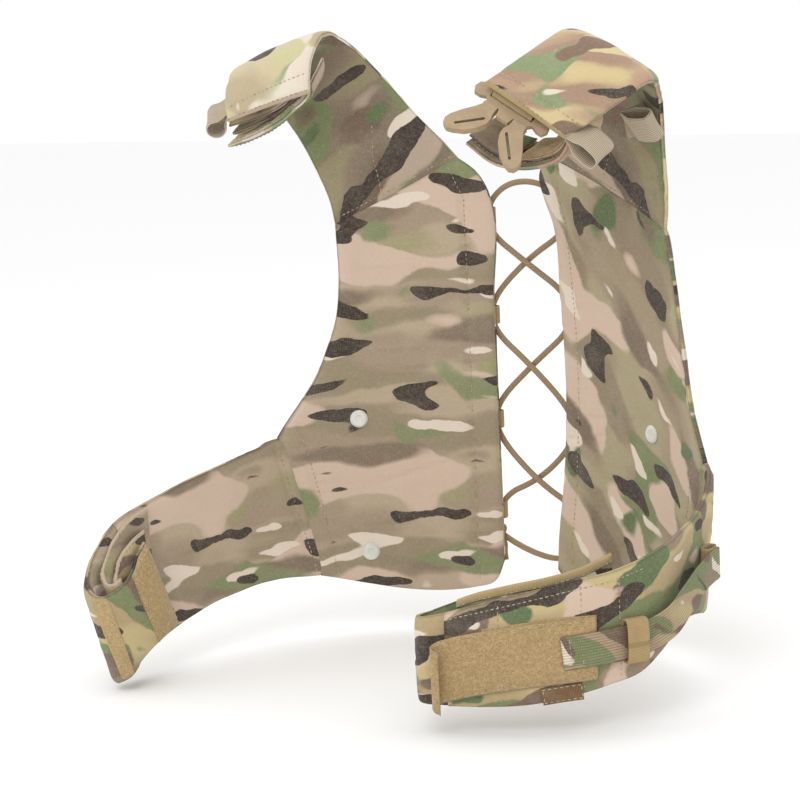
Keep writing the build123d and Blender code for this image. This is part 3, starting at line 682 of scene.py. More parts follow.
YOKE_ROWS = {
    RIGHT: [((68, 94, 395), (153, 51, 349), 5.0), ((80, 91, 408), (159, 46, 370), 4.5),
            ((91, 87, 421), (166, 40, 391), 4.0), ((103, 77, 440), (174, 32, 411), 4.0),
            ((111, 62, 456), (183, 22, 429), 4.0), ((116, 45, 470), (190, 9, 441), 4.0),
            ((119, 28, 479), (195, -2, 449), 4.0)],
    LEFT: [((35, 98, 393), (149, 54, 346), 8.0), ((47, 94, 405), (149, 54, 370), 6.5),
           ((58, 90, 419), (148, 54, 392), 5.0), ((69, 80, 437), (151, 46, 411), 4.5),
           ((78, 64, 455), (156, 32, 426), 4.0), ((84, 46, 468), (162, 14, 436), 4.0),
           ((88, 28, 476.5), (166, 0, 440.5), 4.0)],
}
STRAP_ROWS = {
    RIGHT: [((121, 9.5, 484.5), (199.5, -14, 452), 4.0), ((122, -3, 480), (201, -17, 446), 4.0),
            ((124, -12, 467), (201, -20, 436), 4.0), ((125, -17, 442), (200, -21, 421), 3.0)],
    LEFT: [((88.5, 10, 479), (168, -15.5, 440.5), 4.0), ((82, -8, 472), (160, -24, 434), 4.0),
           ((70, -24, 461.5), (146, -32, 424), 3.5), ((50, -46, 445.5), (115, -44, 404.5), 2.5)],
}
FLAP_FRONT = {
    RIGHT: [(124.5, -13, 449), (126, -12, 441), (133, -10, 434), (142, -9, 428), (158, -8, 417),
            (180, -8, 407), (212, -8, 397)],
    LEFT: [(114, -42, 408), (111, -40, 400), (103, -38, 391), (93, -36, 387), (72, -34, 384), (48, -33, 387),
           (24, -33, 403)],
}
FLAP_BACK = {RIGHT: ((-2, 18, 20), (-2, 20, 8)), LEFT: ((14, 32, 16), (14, 32, 16))}
WING_COLUMNS = {
    RIGHT: [((176.5, 30, 25), (197.5, 6.5, 147)), ((190, 10, 27), (201, -3, 143)),
            ((204, -9, 25.5), (207, -18, 139.5)), ((212, -31, 23), (213, -33, 136)),
            ((221, -56, 19), (220, -53, 132)), ((230, -82, 11), (228, -77, 127)),
            ((237, -106, 2), (238, -105, 119)), ((241, -119, -5), (243, -124, 114.5)),
            ((244, -132, -13), (247.5, -140, 109.5)), ((245.5, -141, -20), (250, -150, 105))],
    LEFT: [((176.5, 30, 25), (197.5, 6.5, 146)), ((187, 10, 29), (200, -5, 131)),
           ((194, -12, 35), (200, -19, 121)), ((198, -35, 40), (200, -35, 115)),
           ((199.5, -53, 41), (199.5, -53, 111)), ((198.5, -70, 36), (198.5, -70, 107)),
           ((195, -87, 26), (195, -87, 103)), ((187, -105, 14), (187, -105, 98)),
           ((172, -125, 8), (172, -125, 92.5)), ((150, -141, 1.5), (150, -141, 88)),
           ((125, -153, -4), (125, -153, 81.5)), ((90, -163, -7), (90, -163, 72)),
           ((62, -169, -7.5), (62, -169, 64))],
}
WING_END_COLUMNS = {
    RIGHT: [((246, -149, -22), (253.5, -160, 97)), ((246, -158, -22), (259, -172, 78)),
            ((243, -163, -21), (255, -181, 62)), ((238, -163, -17), (247, -181, 54)),
            ((235.5, -159, -12), (243, -176, 55)), ((234.5, -156, -7), (240, -169, 58)),
            ((231, -144, 2), (237, -156, 68)), ((228, -129, 9), (236, -149, 80)),
            ((232, -108, 11), (234.5, -139.5, 90))],
    LEFT: [((54, -171.5, -7), (54, -171.5, 62)), ((45, -172.5, -7), (45, -172.5, 60)),
           ((40, -169, -7), (40, -169, 59)), ((40.5, -163.5, -7), (40.5, -163.5, 59)),
           ((48, -160, -6), (48, -160, 62)), ((75, -155, -5), (75, -155, 73)),
           ((105, -147, -2), (105, -147, 81)), ((130, -136, 2), (130, -136, 86)),
           ((150, -120, 8), (150, -120, 91)), ((165, -95, 16), (165, -95, 98))],
}


def mirrored(points, side):
    points = np.asarray(points, float) * MM
    points[..., 0] *= side
    return points


def torso(across, height, side):
    depth = TORSO_CENTRE_Y + np.sqrt(TORSO_RADIUS ** 2 - across ** 2)
    return np.stack([side * across, depth, height], -1)


def back_surface(side, rows=180, columns=80):
    seam, armhole = spline(np.array(WING_SEAM) * MM, 40), spline(np.array(ARMHOLE[side]) * MM, 72)
    outer = spline(np.concatenate([seam[:-1], armhole]), rows)
    bottom, top = (spline(np.array(edge[side]) * MM, columns) for edge in (BOTTOM_EDGE, YOKE_SEAM))
    first = spline(np.array(CENTRE_EDGE[side]) * MM, rows)
    v = np.linspace(0, 1, rows + 1)[:, None, None]
    u = np.linspace(0, 1, columns + 1)[None, :, None]
    flat = ((1 - v) * bottom[None] + v * top[None] + (1 - u) * first[:, None] + u * outer[:, None]
            - (1 - u) * (1 - v) * bottom[0] - u * (1 - v) * bottom[-1]
            - (1 - u) * v * top[0] - u * v * top[-1])
    return Surface(torso(flat[..., 0], flat[..., 1], side), side, flat)


def crowned(rows, side, columns):
    """Rows of points from the neck edge to the arm edge of the shoulder, each bowed upwards."""
    ends = [(mirrored(neck, side), mirrored(arm, side)) for neck, arm, _ in rows]
    t = np.linspace(0, 1, columns + 1)[:, None]
    grid = []
    for index, (a, b) in enumerate(ends):
        before, after = ends[max(index - 1, 0)], ends[min(index + 1, len(ends) - 1)]
        up = unit(np.cross(after[0] + after[1] - before[0] - before[1], b - a) * side)
        grid.append(a + (b - a) * t + up * 4 * rows[index][2] * MM * t * (1 - t))
    return np.array(grid)


def shoulder_surface(side, rows=150, columns=60):
    seam = spline(np.array(YOKE_SEAM[side]) * MM, columns)
    seam = torso(seam[:, 0], seam[:, 1], side)
    coarse = np.concatenate([seam[None], crowned(YOKE_ROWS[side] + STRAP_ROWS[side], side, columns)])
    return Surface(spline(coarse, rows), side)


def column_surface(columns, side, rows, cells):
    """Surface through straight columns, each from a low point to a high one."""
    low, high = (mirrored([c[k] for c in columns], side) for k in (0, 1))
    low, high = spline(np.stack([low, high], 1), rows).transpose(1, 0, 2)
    t = np.linspace(0, 1, cells + 1)[None, :, None]
    grid = low[:, None] * (1 - t) + high[:, None] * t
    along = np.repeat(lengths((low + high) / 2)[:, None], cells + 1, 1)
    return Surface(grid, -side, np.stack([along, grid[..., 2]], -1))


# ---------------------------------------------------------------- pads
BACK_SEAM = {
    RIGHT: [(0.051, 0.016), (0.051, 0.345), (0.063, 0.372)],
    LEFT: [(0.036, 0.014), (0.037, 0.055), (0.044, 0.107), (0.049, 0.170), (0.049, 0.220), (0.047, 0.261),
           (0.042, 0.326), (0.036, 0.345), (0.034, 0.372)],
}
SIDE_SEAM = [(0.160, 0.023), (0.168, 0.085), (0.179, 0.150)]
WING_ROOT_SEAM = [(0.012, 0.02), (0.012, 0.16)]
DART = {RIGHT: [(0.012, 0.006), (0.004, 0.034), (-0.012, 0.062)], LEFT: [(-0.01, 0.01), (-0.004, 0.06)]}
# where a pad bends: a point, in mm, and the way across the bend there
CREST = {RIGHT: ((-161.6, 0.7, 471.5), (24, -77.5, 0)), LEFT: ((130.9, 0.6, 465.5), (-26, -79, 0))}
WING_END_BEND = {RIGHT: ((-252, -149.8, 40), (-0.1, -1, 0)), LEFT: ((58, -173, 28), (-1, -0.15, 0))}
WING_LINING = {RIGHT: LINING, LEFT: YOKE_CAMO}


def blend_across(piece, body_a, body_b, point, way, half):
    point, way = Vector(point) * MM, Vector(way).normalized() * half * MM
    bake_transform(piece)


def layers(prefix):
    return [f"{prefix}_{layer}" for layer in ("lining", "foam", "shell")]


def finish_soft(pad, rides, nodes):
    """Makes a padded piece that rides on a body, or, where it lies over a bend between two bodies, leaves it
    fixed in place on neither.
    """
    piece = pad.mesh.make()
    if isinstance(rides, str):
        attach(piece, rides)
    else:
        blend_across(piece, *rides)
    if nodes:
        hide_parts(*nodes)


def back_pad(side):
    name = SIDES[side] + "_back"
    pad = Pad(f"{name}_pad", back_surface(side), PAD, LINING if side == RIGHT else LINING_SLANT, SHELL,
              seams=[(BACK_SEAM[side], 0.35), (SIDE_SEAM, 0.25)], seed=3 + side, folds=26, grain=0.15 * side)
    pad.stitch_line(BACK_SEAM[side])
    pad.stitch_line(SIDE_SEAM)
    finish_soft(pad, name, layers(name) + [f"{name}_stiffener"])


def shoulder_pad(side):
    name = SIDES[side]
    pad = Pad(f"{name}_shoulder_pad", shoulder_surface(side), PAD, YOKE_CAMO, STRAP_SHELL[side],
              seams=[(DART[side], 0.3)], seed=8 + side, rough=0.0009, folds=26, grain=0.2)
    pad.stitch_line(DART[side])
    pad.stitch([0.02, 0.02], [0.02, 0.98])
    pad.stitch([0.94, 0.94], [0.03, 0.97])
    pad.bind("top", 0.0024, HEM if side == RIGHT else GOLD_TAPE, 0.0003)
    finish_soft(pad, (f"{name}_back", f"{name}_shoulder", *CREST[side], 13),
                layers(f"{name}_yoke") + layers(f"{name}_strap"))
    return pad


def wing_pad(side):
    name = SIDES[side]
    lap = [torso((a - 5) * MM, h * MM, 1) / MM + (1.5, 1.0, 0.0) for a, h in (WING_SEAM[0], WING_SEAM[-1])]
    surface = column_surface([lap] + WING_COLUMNS[side], side, 96, 40)
    pad = Pad(f"{name}_wing_pad", surface, PAD, WING_LINING[side], SHELL, pinch=("first", "last", "bottom"),
              seams=[(WING_ROOT_SEAM, 0.3)], seed=20 + side, folds=20)
    pad.stitch([0.05, 0.05], [0.03, 0.97])
    if side == LEFT:
        for place in (0.57, 0.66, 0.86):
            pad.stitch([place, place], [0.04, 0.96])
        pad.stitch([0.5, 0.99], [0.93, 0.93])
    seam, way = (side * 187.5, 23.6, 86.5), (side * 0.70, -0.71, -0.26)
    finish_soft(pad, (f"{name}_back", f"{name}_wing", seam, way, 8), layers(f"{name}_wing"))


def wing_end_pad(side, thick):
    name = SIDES[side]
    surface = column_surface(WING_COLUMNS[side][-1:] + WING_END_COLUMNS[side], side, 80, 36)
    pad = Pad(f"{name}_wing_fold", surface, thick, WING_LINING[side], SHELL, pinch=("first", "last", "top"),
              seed=30 + side, edge=0.0014, rough=0.0004, size=0.04, folds=8)
    if side == LEFT:
        pad.bind("last", 0.006, GOLD_TAPE, start=0.3)
    finish_soft(pad, (f"{name}_wing", f"{name}_wing_end", *WING_END_BEND[side], 5),
                [f"{name}_wing_end_pad"])
    return pad


ROLL_LAYERS = [
    ([((236, -118, 0), (239, -120, 113)), ((240, -132, 0), (243.5, -136, 108)),
      ((243, -142, -5), (247, -150, 99)), ((244, -152, -5), (249.5, -162, 85)),
      ((242, -158, -5), (250, -170, 70)), ((239, -157, -3), (245, -171, 61)),
      ((237, -150, 0), (241, -162, 64))], 3.0, LINING, SHELL),
    ([((235, -126, 0), (235.5, -131, 97)), ((238.5, -140, 0), (239, -145, 90)),
      ((240, -149, 0), (243, -158, 77)), ((238, -151, 0), (242, -164, 62)),
      ((234.5, -146, 2), (238.5, -156, 58))], 2.5, SHELL, YOKE_CAMO),
]


def roll_layers():
    """Loose cloth layers seen in the mouth of the rolled right wing end."""
    for number, (columns, thick, lining, shell) in enumerate(ROLL_LAYERS):
        surface = column_surface(columns, RIGHT, 70, 40)
        surface.cloth = surface.cloth + (0.13 * (number + 1), 0.31)
        pad = Pad(f"right_wing_layer_{number}", surface, thick * MM, lining, shell, seed=80 + number,
                  edge=0.0008, rough=0.0009, size=0.03, reach=0.004, folds=8)
        pad.bind("last", 0.002, HEM, 0.0002)
        finish_soft(pad, "right_wing_end", [])


LAYER_PRINT = {RIGHT: (0.35, 0.22), LEFT: (0.18, 0.40)}


def folded_layer(side, lifts, span, back):
    """Surface of one layer of a strap end: a stretch of the flap, lifted towards the strap."""
    front = spline(mirrored(FLAP_FRONT[side], side), 60)
    fold, end = (mirrored(run, side) for run in back)
    across = np.linspace(*span, 61)
    line = np.stack([np.interp(across * 60, np.arange(61), front[:, k]) for k in range(3)], 1)
    runs = fold + (end - fold) * across[:, None]
    rise = (lifts[0] + (lifts[1] - lifts[0]) * across) * MM
    line = line + rise[:, None] * np.array((0, 0, 1.0))
    layer = Surface(line[None] + runs[None] * np.linspace(0, 1, 25)[:, None, None], -side)
    layer.cloth = layer.cloth + LAYER_PRINT[side]
    return layer


FILLERS = {
    RIGHT: [((7, 9), (0.12, 0.95), ((-2, 15, 16), (-2, 16, 7)), SHELL, YOKE_CAMO),
            ((9, 17), (0.30, 0.97), ((-2, 12, 20), (-2, 9, 22)), SHELL, SHELL)],
    LEFT: [((6.5, 7.5), (0.06, 0.55), ((13, 26, 13), (13, 26, 13)), HOOK, HOOK),
           ((6.5, 9), (0.60, 0.96), ((12, 24, 12), (12, 24, 12)), YOKE_CAMO, SHELL)],
}


def strap_curl(side):
    """Folded end of a shoulder strap, and the loose layers in its mouth."""
    name = SIDES[side] + "_strap"
    pad = Pad(f"{name}_curl", folded_layer(side, (0, 0), (0, 1), FLAP_BACK[side]), THIN_PAD, YOKE_CAMO,
              STRAP_SHELL[side], seed=40 + side, edge=0.0012, rough=0.0005, size=0.03, reach=0.006, folds=6)
    pad.stitch([0.12, 0.12], [0.1, 0.97])
    finish_soft(pad, f"{name}_end", [f"{name}_flap"])
    for number, (lifts, span, back, lining, shell) in enumerate(FILLERS[side]):
        pad = Pad(f"{name}_layer_{number}", folded_layer(side, lifts, span, back), THIN_PAD, lining, shell,
                  seed=60 + side + 5 * number, edge=0.0009, rough=0.0008, size=0.025, reach=0.006, folds=8)
        finish_soft(pad, f"{name}_end", [])


# ---------------------------------------------------------------- lacing cord
CORD_ROUTE = [
    (-39, 114, 64), (-36, 114, 87), (3, 117.5, 104), (36.5, 114, 137), (37, 114, 163),
    (1, 110.5, 203), (-36, 114, 232), (-36.5, 114, 258), (-2, 117.5, 293), (37.5, 114, 317),
    (37, 114, 340), (14, 115, 358), (-16, 114.5, 358), (-36, 114, 340), (-36.5, 114, 316),
    (-1, 110.5, 291), (38, 114, 262), (38.5, 114, 235), (1, 117.5, 204.5), (-36.5, 114, 168),
    (-36, 114, 141), (3, 110.5, 103), (38, 114, 80), (40, 114.5, 56), (26, 114.5, 33),
    (-13, 113.5, 41), (-34, 115, 53),
]
CORD = 5 * MM
ROUND_UP = (0, 1, 0.001)


def nurbs_line(name, points, resolution):
    """The smooth line that a cord follows."""
    curve = bpy.data.curves.new(name, "CURVE")
    curve.dimensions = "3D"
    curve.resolution_u = resolution
    strand = curve.splines.new("NURBS")
    strand.points.add(len(points) - 1)
    for knot, point in zip(strand.points, points):
        knot.co = (*(c * MM for c in point), 1.0)
    strand.order_u = 3
    strand.use_endpoint_u = True
    holder = linked(name, curve)
    bpy.context.view_layer.update()
    line = bpy.data.meshes.new_from_object(holder)
    path = np.array([v.co for v in line.vertices])
    bpy.data.objects.remove(holder)
    bpy.data.meshes.remove(line)
    return path


def round_profile(radius, sides=12):
    turn = np.linspace(0, 2 * math.pi, sides, endpoint=False)
    return np.stack([radius * np.cos(turn), radius * np.sin(turn)], 1)


def lacing():
    path = nurbs_line("lacing_line", CORD_ROUTE, 10)
    side, up = frames(path, ROUND_UP)
    mesh = Mesh("lacing_cord_braid")
    sweep(mesh, path, side, up, round_profile(CORD / 2), CORD_BRAID)
    cord = mesh.make()
    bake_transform(cord)
    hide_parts("lacing_cord")


lacing()
shoulder_pads = {}
for side in (RIGHT, LEFT):
    back_pad(side)
    shoulder_pads[side] = shoulder_pad(side)
    wing_pad(side)
    strap_curl(side)
right_end = wing_end_pad(RIGHT, PAD)
left_end = wing_end_pad(LEFT, THIN_PAD)
roll_layers()


# ---------------------------------------------------------------- webbing, tapes and loops
def band_profile(width, thick):
    """Flat band with rounded edges, width along side and thickness along up."""
    half, edge = width / 2, thick / 2
    top = [(half - edge, edge), (half * 0.5, edge), (0, edge), (-half * 0.5, edge), (-half + edge, edge)]
    low = [(-x, -y) for x, y in top]
    return top + [(-half - edge * 0.2, 0)] + low + [(half + edge * 0.2, 0)]


def strip(name, path, out, width, thick, material, edge_stitch=0.0, ends=(), upright=False):
    """Band of webbing or tape along a path; out is the way its face looks."""
    up = unit(out)
    side = unit(np.cross(unit(np.gradient(path, axis=0)), up))
    if upright:
        side = np.repeat([[0, 0, -1.0]], len(path), 0)
    mesh = Mesh(name)
    sweep(mesh, path, side, up, band_profile(width, thick), material)
    for edge in (1, -1) if edge_stitch else ():
        stitches(mesh, path + side * (width / 2 - edge_stitch) * edge, up, thick / 2)
    for place in ends:
        k = int(place * (len(path) - 1))
        line = path[k] + np.linspace(-0.42, 0.42, 12)[:, None] * width * side[k]
        stitches(mesh, line, np.repeat(up[k][None], 12, 0), thick / 2)
    return mesh


PATCH_LIFT, PATCH_SINK, PATCH_ROUND, RIM = 0.0003, 0.0005, 0.0012, 0.0022


def patch(pad, rows, columns, thick, name, material):
    """Tape sewn on the outer face of a pad, between shares of its columns.

    Its rows are shares too, or, as a pair of negative metres, distances back from the free end.
    """
    r, c = np.linspace(*rows, 60), np.linspace(*columns, 36)
    rr, cc = np.meshgrid(r, c, indexing="ij")
    if rows[0] < 0:
        left = pad.surface.edge_distance("top")
        shares = np.linspace(0, 1, left.shape[0])
        for k, column in enumerate(c):
            run = left[:, int(round(column * (left.shape[1] - 1)))]
            rr[:, k] = np.interp(-r, run[::-1], shares[::-1])
    at, out, middle, half = (values.reshape(*rr.shape, -1) for values in pad.sample(rr.ravel(), cc.ravel()))
    surface = Surface(at + out * (middle + half + PATCH_LIFT), 1)
    surface.out = out
    near = np.minimum.reduce([surface.edge_distance(which) for which in ALL_EDGES])
    top = surface.at + out * (thick * (0.35 + 0.65 * np.clip(near / PATCH_ROUND, 0, 1) ** 0.5))[..., None]
    mesh = Mesh(name)
    mesh.slab(surface, surface.at - out * PATCH_SINK, top, material, material)
    j = RIM / surface.edge_distance("bottom")[-1].mean()
    i = RIM / surface.edge_distance("first")[:, -1].mean()
    rim = [(j, i), (1 - j, i), (1 - j, 1 - i), (j, 1 - i), (j, i)]
    for a, b in zip(rim, rim[1:]):
        line = np.linspace(a, b, 50).T
        stitches(mesh, surface.sample(top, *line), unit(surface.sample(out, *line)))
    return mesh


def ring_band(name, centre, way, flat, width, depth, band, thick, material, waist=0.0, mesh=None, tail=0.0,
              bend=0.62):
    """Flattened loop of elastic or webbing, open along way and pinched into a sewn tail; sizes in metres."""
    centre, way, flat = np.asarray(centre, float), unit(np.asarray(way, float)), np.asarray(flat, float)
    flat = unit(flat - way * float(flat @ way))
    tall = np.cross(way, flat)
    turn = np.linspace(0, 2 * math.pi, 56, endpoint=False)
    x, y = (np.sign(c) * np.abs(c) ** bend for c in (np.cos(turn), np.sin(turn)))
    pinch = np.exp(-((turn - math.pi) / 0.75) ** 2) if tail else turn * 0
    y = y * (1 - 0.6 * pinch)
    along = np.linspace(-0.5, 0.5, 14)
    sheets = []
    for inset in (0.0, thick):
        rows = []
        for share in along:
            squeeze = 1 - waist * math.cos(share * math.pi) ** 2
            edge = thick * 0.3 * (abs(share) > 0.49) * (-1 if inset else 1)
            w, d = (width / 2 - inset - edge) * squeeze, (depth / 2 - inset - edge) * squeeze
            rows.append(centre + way * band * share + flat * (x * w - tail * pinch ** 3)[:, None]
                        + tall * (y * d)[:, None])
        sheets.append(np.array(rows))
    mesh = mesh or Mesh(name)
    cloth = np.stack(np.meshgrid(along * band, lengths(sheets[0][0]), indexing="ij"), -1)[..., ::-1]
    outer = mesh.grid(sheets[0], cloth, material, closed=True)
    inner = mesh.grid(sheets[1], cloth, material, closed=True, flip=True)
    count = len(turn)
    last = (len(along) - 1) * count
    for k in range(count):
        n = (k + 1) % count
        mesh.add_faces([(outer + n, outer + k, inner + k, inner + n),
                        (outer + last + k, outer + last + n, inner + last + n, inner + last + k)], material)
    return mesh


WELD = 1e-6


def finish_piece(mesh, body, nodes):
    piece = mesh.make(WELD)
    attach(piece, body)
    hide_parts(*nodes)


def sewn_end(mesh, tip, way, pad):
    """Flat tail of an elastic loop, from its pinched end to the nearest cloth of the pad."""
    way = unit(np.asarray(way, float))
    cloth = pad.inner.reshape(-1, 3)
    foot = cloth[((cloth - tip) ** 2).sum(1).argmin()]
    run = unit(foot - tip)
    path = tip + (foot - tip) * np.linspace(-0.1, 1.05, 8)[:, None]
    side = np.repeat(unit(way - run * float(way @ run))[None], len(path), 0)
    sweep(mesh, path, side, np.cross(side, run), band_profile(24 * MM, 2.8 * MM), ELASTIC)


# body, side, centre, way it opens, way it points, width, depth, tail and how boxy its ring is
ELASTIC_LOOPS = {
    "left_front_loop": ("left_shoulder", LEFT, (134, -40, 398), (-0.2, -0.87, -0.45), (0.69, 0.26, -0.68),
                        25, 16, 7, 0.62),
    "left_side_loop": ("left_back", LEFT, (143.5, 36, 409), (-0.15, -0.62, 0.77), (0.95, -0.30, 0.0),
                       25, 14, 5, 0.62),
    "right_side_loop": ("right_shoulder", RIGHT, (-220, -12, 421), (0.374, -0.725, -0.578),
                        (-0.738, 0.145, -0.659), 18, 17, 13, 0.92),
}
for name, (body, side, centre, way, flat, width, depth, tail, bend) in ELASTIC_LOOPS.items():
    loop = ring_band(name + "_elastic", np.array(centre) * MM, way, flat, width * MM, depth * MM, 25 * MM,
                     1.5 * MM, ELASTIC, waist=0.05, tail=tail * MM, bend=bend)
    tip = np.array(centre) - unit(np.array(flat, float)) * (width / 2 + tail - 1)
    sewn_end(loop, tip * MM, way, shoulder_pads[side])
    finish_piece(loop, body, [name])

LACE_LOOP_HEIGHTS = {RIGHT: (76, 155, 245, 329), LEFT: (69, 150, 248, 330)}
LACE_LOOP_ACROSS = 37
for side in (RIGHT, LEFT):
    name = SIDES[side]
    loops = Mesh(f"{name}_lacing_webbing")
    for height in LACE_LOOP_HEIGHTS[side]:
        foot = torso(LACE_LOOP_ACROSS * MM, height * MM, side)
        outward = unit(np.array([foot[0], foot[1] - TORSO_CENTRE_Y, 0]))
        across = np.cross(outward, (0, 0, 1))
        ring_band("", foot + outward * (PAD + 5.25 * MM), (0, 0, 1), across, 18 * MM,
                  10.5 * MM, 15 * MM, 1.2 * MM, WEBBING_TAN, mesh=loops)
        for shift in (-0.25, 0.25):
            line = foot + outward * (PAD + 1.6 * MM) + np.linspace(-6, 6, 9)[:, None] * MM * (0, 0, 1.0)
            stitches(loops, line + across * 18 * MM * shift, np.repeat(outward[None], 9, 0))
    finish_piece(loops, f"{name}_back", [f"{name}_lacing_loops"])

knot = Mesh("lacing_knot_braid")
turn = np.linspace(0, 2 * math.pi, 90, endpoint=False)
trefoil = np.stack([np.sin(turn) + 2 * np.sin(2 * turn), -1.3 * np.sin(3 * turn),
                    np.cos(turn) - 2 * np.cos(2 * turn)], 1) * (1.75 * MM, 1.9 * MM, 1.95 * MM)
trefoil = trefoil + np.array((-38.5, 116, 55.5)) * MM
loop = np.concatenate([trefoil[-3:], trefoil, trefoil[:3]])
side_way, up_way = frames(loop, ROUND_UP)
sweep(knot, loop[3:-3], side_way[3:-3], up_way[3:-3], round_profile(2.3 * MM), CORD_BRAID, closed=True)
for tail in ([(-41, 116, 52), (-42, 117, 42), (-45, 118.5, 33), (-44, 118, 26)],
             [(-36, 116.5, 52), (-35, 118, 44), (-36, 119.5, 36), (-35, 119, 30)]):
    line = spline(np.array(tail) * MM, 24)
    side_way, up_way = frames(line, ROUND_UP)
    sweep(knot, line, side_way, up_way, round_profile(2.4 * MM), CORD_BRAID)
finish_piece(knot, "right_back", ["lacing_knot"])


LEFT_WING = np.array(WING_COLUMNS[LEFT], float) * MM
LEFT_WING_GAPS = np.linalg.norm(np.diff(LEFT_WING, axis=0), axis=-1).mean(1)


def wall(where, height, distance):
    """Point beside the left wing at a place along its columns, and the way out of the cloth there."""
    along = lengths(LEFT_WING)
    slopes = np.gradient(LEFT_WING, along, axis=0)

    def at(place):
        s = float(np.interp(place, np.arange(len(along)), along))
        k = min(int(np.searchsorted(along, s, side="right")) - 1, len(along) - 2)
        h = LEFT_WING_GAPS[k]
        low, high = hermite(LEFT_WING, slopes, k, h, (s - along[k]) / h)
        return low + (high - low) * (height * MM - low[2]) / (high[2] - low[2])

    run = at(min(where + 0.02, len(along) - 1)) - at(where - 0.02)
    out = unit(np.cross(run, (0, 0, -1.0)))
    return at(where) + out * distance * MM, out


def wall_path(stations, count):
    stations = spline(np.array(stations, float) * (10, 1, 1), count) / (10, 1, 1)
    points, ways = zip(*(wall(*station) for station in stations))
    return np.array(points), np.array(ways)


# places along the wing's columns, heights in mm and distances out from the wing in mm
GIRTH_STRAP = [(9.25, 35.5, 12.1), (8.6, 37.5, 12.5), (8.0, 40, 13.5), (7.0, 42.5, 13.9), (6.2, 49, 16.9),
               (5.2, 64, 19.4), (4.4, 73, 20.5), (3.6, 77, 20.7), (3.0, 78, 20.5), (2.2, 78, 20.5)]
HOOK_BAND = [(8.35, 40, 9.0), (9.0, 39.5, 9.0), (10.0, 36.5, 9.0), (11.0, 30.5, 9.0)]
LABEL_PLACES = [(8.75, 6, 9.2), (9.0, 5.5, 9.2), (9.4, 4.2, 9.2), (9.8, 2.5, 9.2)]
for name, places, count, width, thick, material, words, node, slot in (
        ("left_girth_webbing", GIRTH_STRAP, 120, 25, 1.8, WEBBING_CAMO, {"ends": (0.03, 0.06)},
         "left_girth_strap", "webbing"),
        ("left_hook_band", HOOK_BAND, 60, 46, 0.9, HOOK, {"edge_stitch": 0.0025, "upright": True},
         "left_hook_tape", "hook_and_loop"),
        ("left_plain_label", LABEL_PLACES, 40, 13, 0.7, LABEL, {"edge_stitch": 0.0015, "ends": (0.04, 0.96)},
         "left_blank_label", "label_cloth")):
    path, out = wall_path(places, count)
    finish_piece(strip(name, path, out, width * MM, thick * MM, material, **words), "left_wing", [node])

# hook tape from the girth strap to its free curled tab
HELD_TAPE = [(8.38, 38, 10.3), (9.0, 37, 10.3), (9.5, 35.7, 10.3), (10.0, 34, 10.3), (10.5, 31.2, 10.3),
             (11.0, 28, 10.6)]
FREE_TAB = [(76, -178.2, 24.5), (67, -181.8, 22.3), (60.5, -185, 20), (58, -188.5, 18), (60.5, -191.5, 16),
            (65, -191, 14)]
held, tab = [wall(*station)[0] for station in HELD_TAPE], np.array(FREE_TAB) * MM
tab = spline(np.concatenate([held, tab]), 130)
run = unit(np.gradient(tab, axis=0))
out = unit(np.cross(run, (0, 0, -1.0)))
out *= np.sign(-out[0, 1])
curl = strip("left_hook_curl", tab, out, 48 * MM, 1.6 * MM, HOOK, edge_stitch=0.0025, upright=True).make(WELD)
blend_across(curl, "left_wing", "hook_tab", (84, -175, 25.5), (-1, -0.35, 0), 5)
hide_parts("left_hook_tab")
point, out = wall(7.4, 41.8, 14.6)
ahead, _ = wall(7.6, 41.8, 14.6)
finish_piece(ring_band("left_keeper_elastic", point, ahead - point, out, 12 * MM, 34 * MM, 18 * MM, 1.4 * MM,
                       KEEPER_ELASTIC), "keeper", ["left_keeper"])
point, out = wall(2.45, 78, PAD / MM + 6.2)
finish_piece(ring_band("left_anchor_webbing", point, (0, 0, 1), out, 10.5 * MM, 20 * MM, 27 * MM, 1.8 * MM,
                       WEBBING_TAN), "left_wing", ["left_strap_anchor"])

finish_piece(patch(right_end, (-0.0308, -0.001), (0.01, 0.99), 0.0016, "right_hook_band", HOOK),
             "right_wing_end", ["right_wing_hook_strip"])
finish_piece(patch(right_end, (0.410, 0.462), (0.03, 0.96), 0.0014, "right_loop_band", LOOP),
             "right_wing_end", ["right_wing_loop_tape"])
finish_piece(patch(left_end, (0.37, 0.98), (0.30, 0.95), 0.0014, "left_loop_band", LOOP),
             "left_wing_end", ["left_wing_end_tape"])

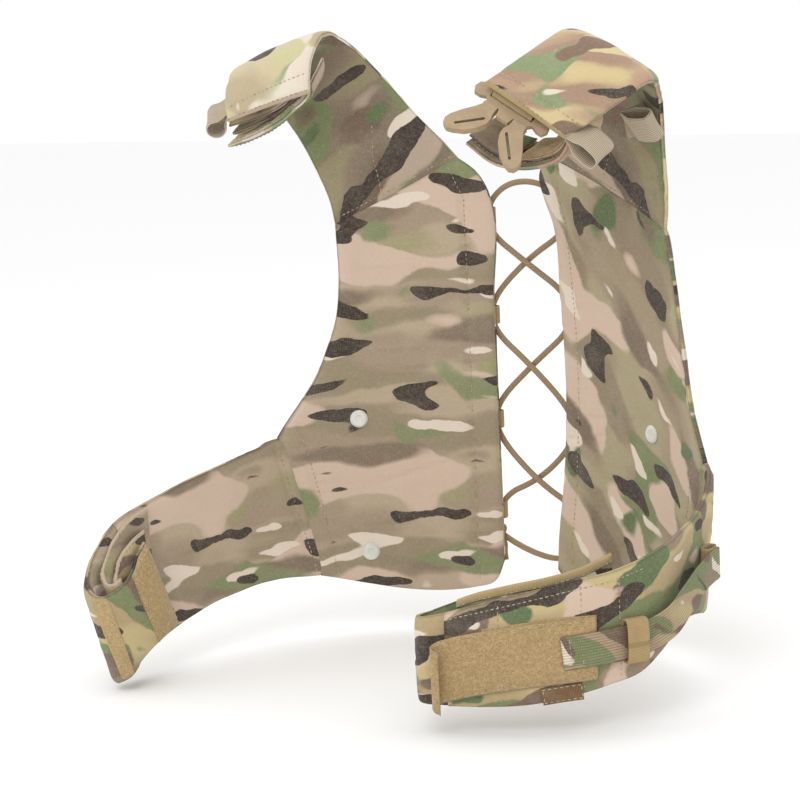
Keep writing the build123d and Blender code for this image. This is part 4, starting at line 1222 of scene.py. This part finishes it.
# ---------------------------------------------------------------- buckle and snap caps
BUCKLE_SEAT = Vector((72.3, -38.3, 432.2)) * MM
BUCKLE_BAR = Vector((0.845, 0.026, -0.533)).normalized()
BUCKLE_RUN = Vector((-0.386, -0.66, -0.644))
BUCKLE_RUN = (BUCKLE_RUN - BUCKLE_BAR * BUCKLE_RUN.dot(BUCKLE_BAR)).normalized()
BUCKLE_IN = BUCKLE_BAR.cross(BUCKLE_RUN)
loop = [(-13, 4.5), (-4, 4.5), (5.3, 4.5), (7.3, 2.8), (7.5, 0), (7.3, -2.8), (5.3, -4.5), (-4, -4.5),
        (-13, -4.5)]
loop = spline(np.array(loop) * MM, 60)
path = np.array(BUCKLE_SEAT)[None] + loop[:, :1] * np.array(BUCKLE_RUN) + loop[:, 1:] * np.array(BUCKLE_IN)
run = unit(np.gradient(path, axis=0))
out = unit(np.cross(run, np.array(BUCKLE_BAR)))
finish_piece(strip("buckle_webbing_fold", path, out, 38 * MM, 1.3 * MM, WEBBING_TAN), "left_shoulder",
             ["buckle_webbing"])


def harden(node, material, width, segments=3):
    """Keeps a moulded CAD part, with its edges rounded."""
    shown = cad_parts[node]
    shown.data.materials.clear()
    shown.data.materials.append(material)
    round_off = shown.modifiers.new("edges", "BEVEL")
    round_off.width = width
    round_off.segments = segments
    round_off.limit_method = "ANGLE"
    round_off.angle_limit = math.radians(40)
    round_off.harden_normals = True


for node in ("buckle_body", "buckle_neck_prong", "buckle_arm_prong"):
    harden(node, BUCKLE_PLASTIC, 0.0011)
for node in ("right_snap_caps", "left_snap_caps"):
    harden(node, SNAP_PLASTIC, 0.0003, 2)

# ---------------------------------------------------------------- floor and light
FLOOR_Z = -0.0285
floor_mesh = bpy.data.meshes.new("floor")
floor_mesh.from_pydata([(x, y, FLOOR_Z) for x, y in ((-6, -6), (6, -6), (6, 6), (-6, 6))], [], [(0, 1, 2, 3)])
floor_mesh.materials.append(Nodes("floor_pale").finish((0.96, 0.96, 0.96, 1)))
linked("floor", floor_mesh)


def area_light(name, place, target, size, power):
    data = bpy.data.lights.new(name, "AREA")
    data.shape = "DISK"
    data.size = size
    data.energy = power
    light = linked(name, data)
    light.location = place
    light.rotation_euler = (Vector(target) - Vector(place)).to_track_quat("-Z", "Y").to_euler()


CENTRE = (0, 0, 0.24)
area_light("key", (0.3, -1.7, 1.7), CENTRE, 1.2, 9)
area_light("fill_left", (-1.8, -0.9, 1.0), CENTRE, 1.6, 3)
area_light("back", (0.6, 1.8, 1.5), CENTRE, 1.6, 4)
area_light("top", (0, 0, 2.2), CENTRE, 2.0, 4)
world = bpy.data.worlds.new("soft_studio")
world.use_nodes = True
for socket, value in zip(world.node_tree.nodes["Background"].inputs, ((1.0, 1.0, 1.0, 1), 1.0)):
    socket.default_value = value
bpy.context.scene.world = world
bpy.context.scene.view_settings.view_transform = "Standard"
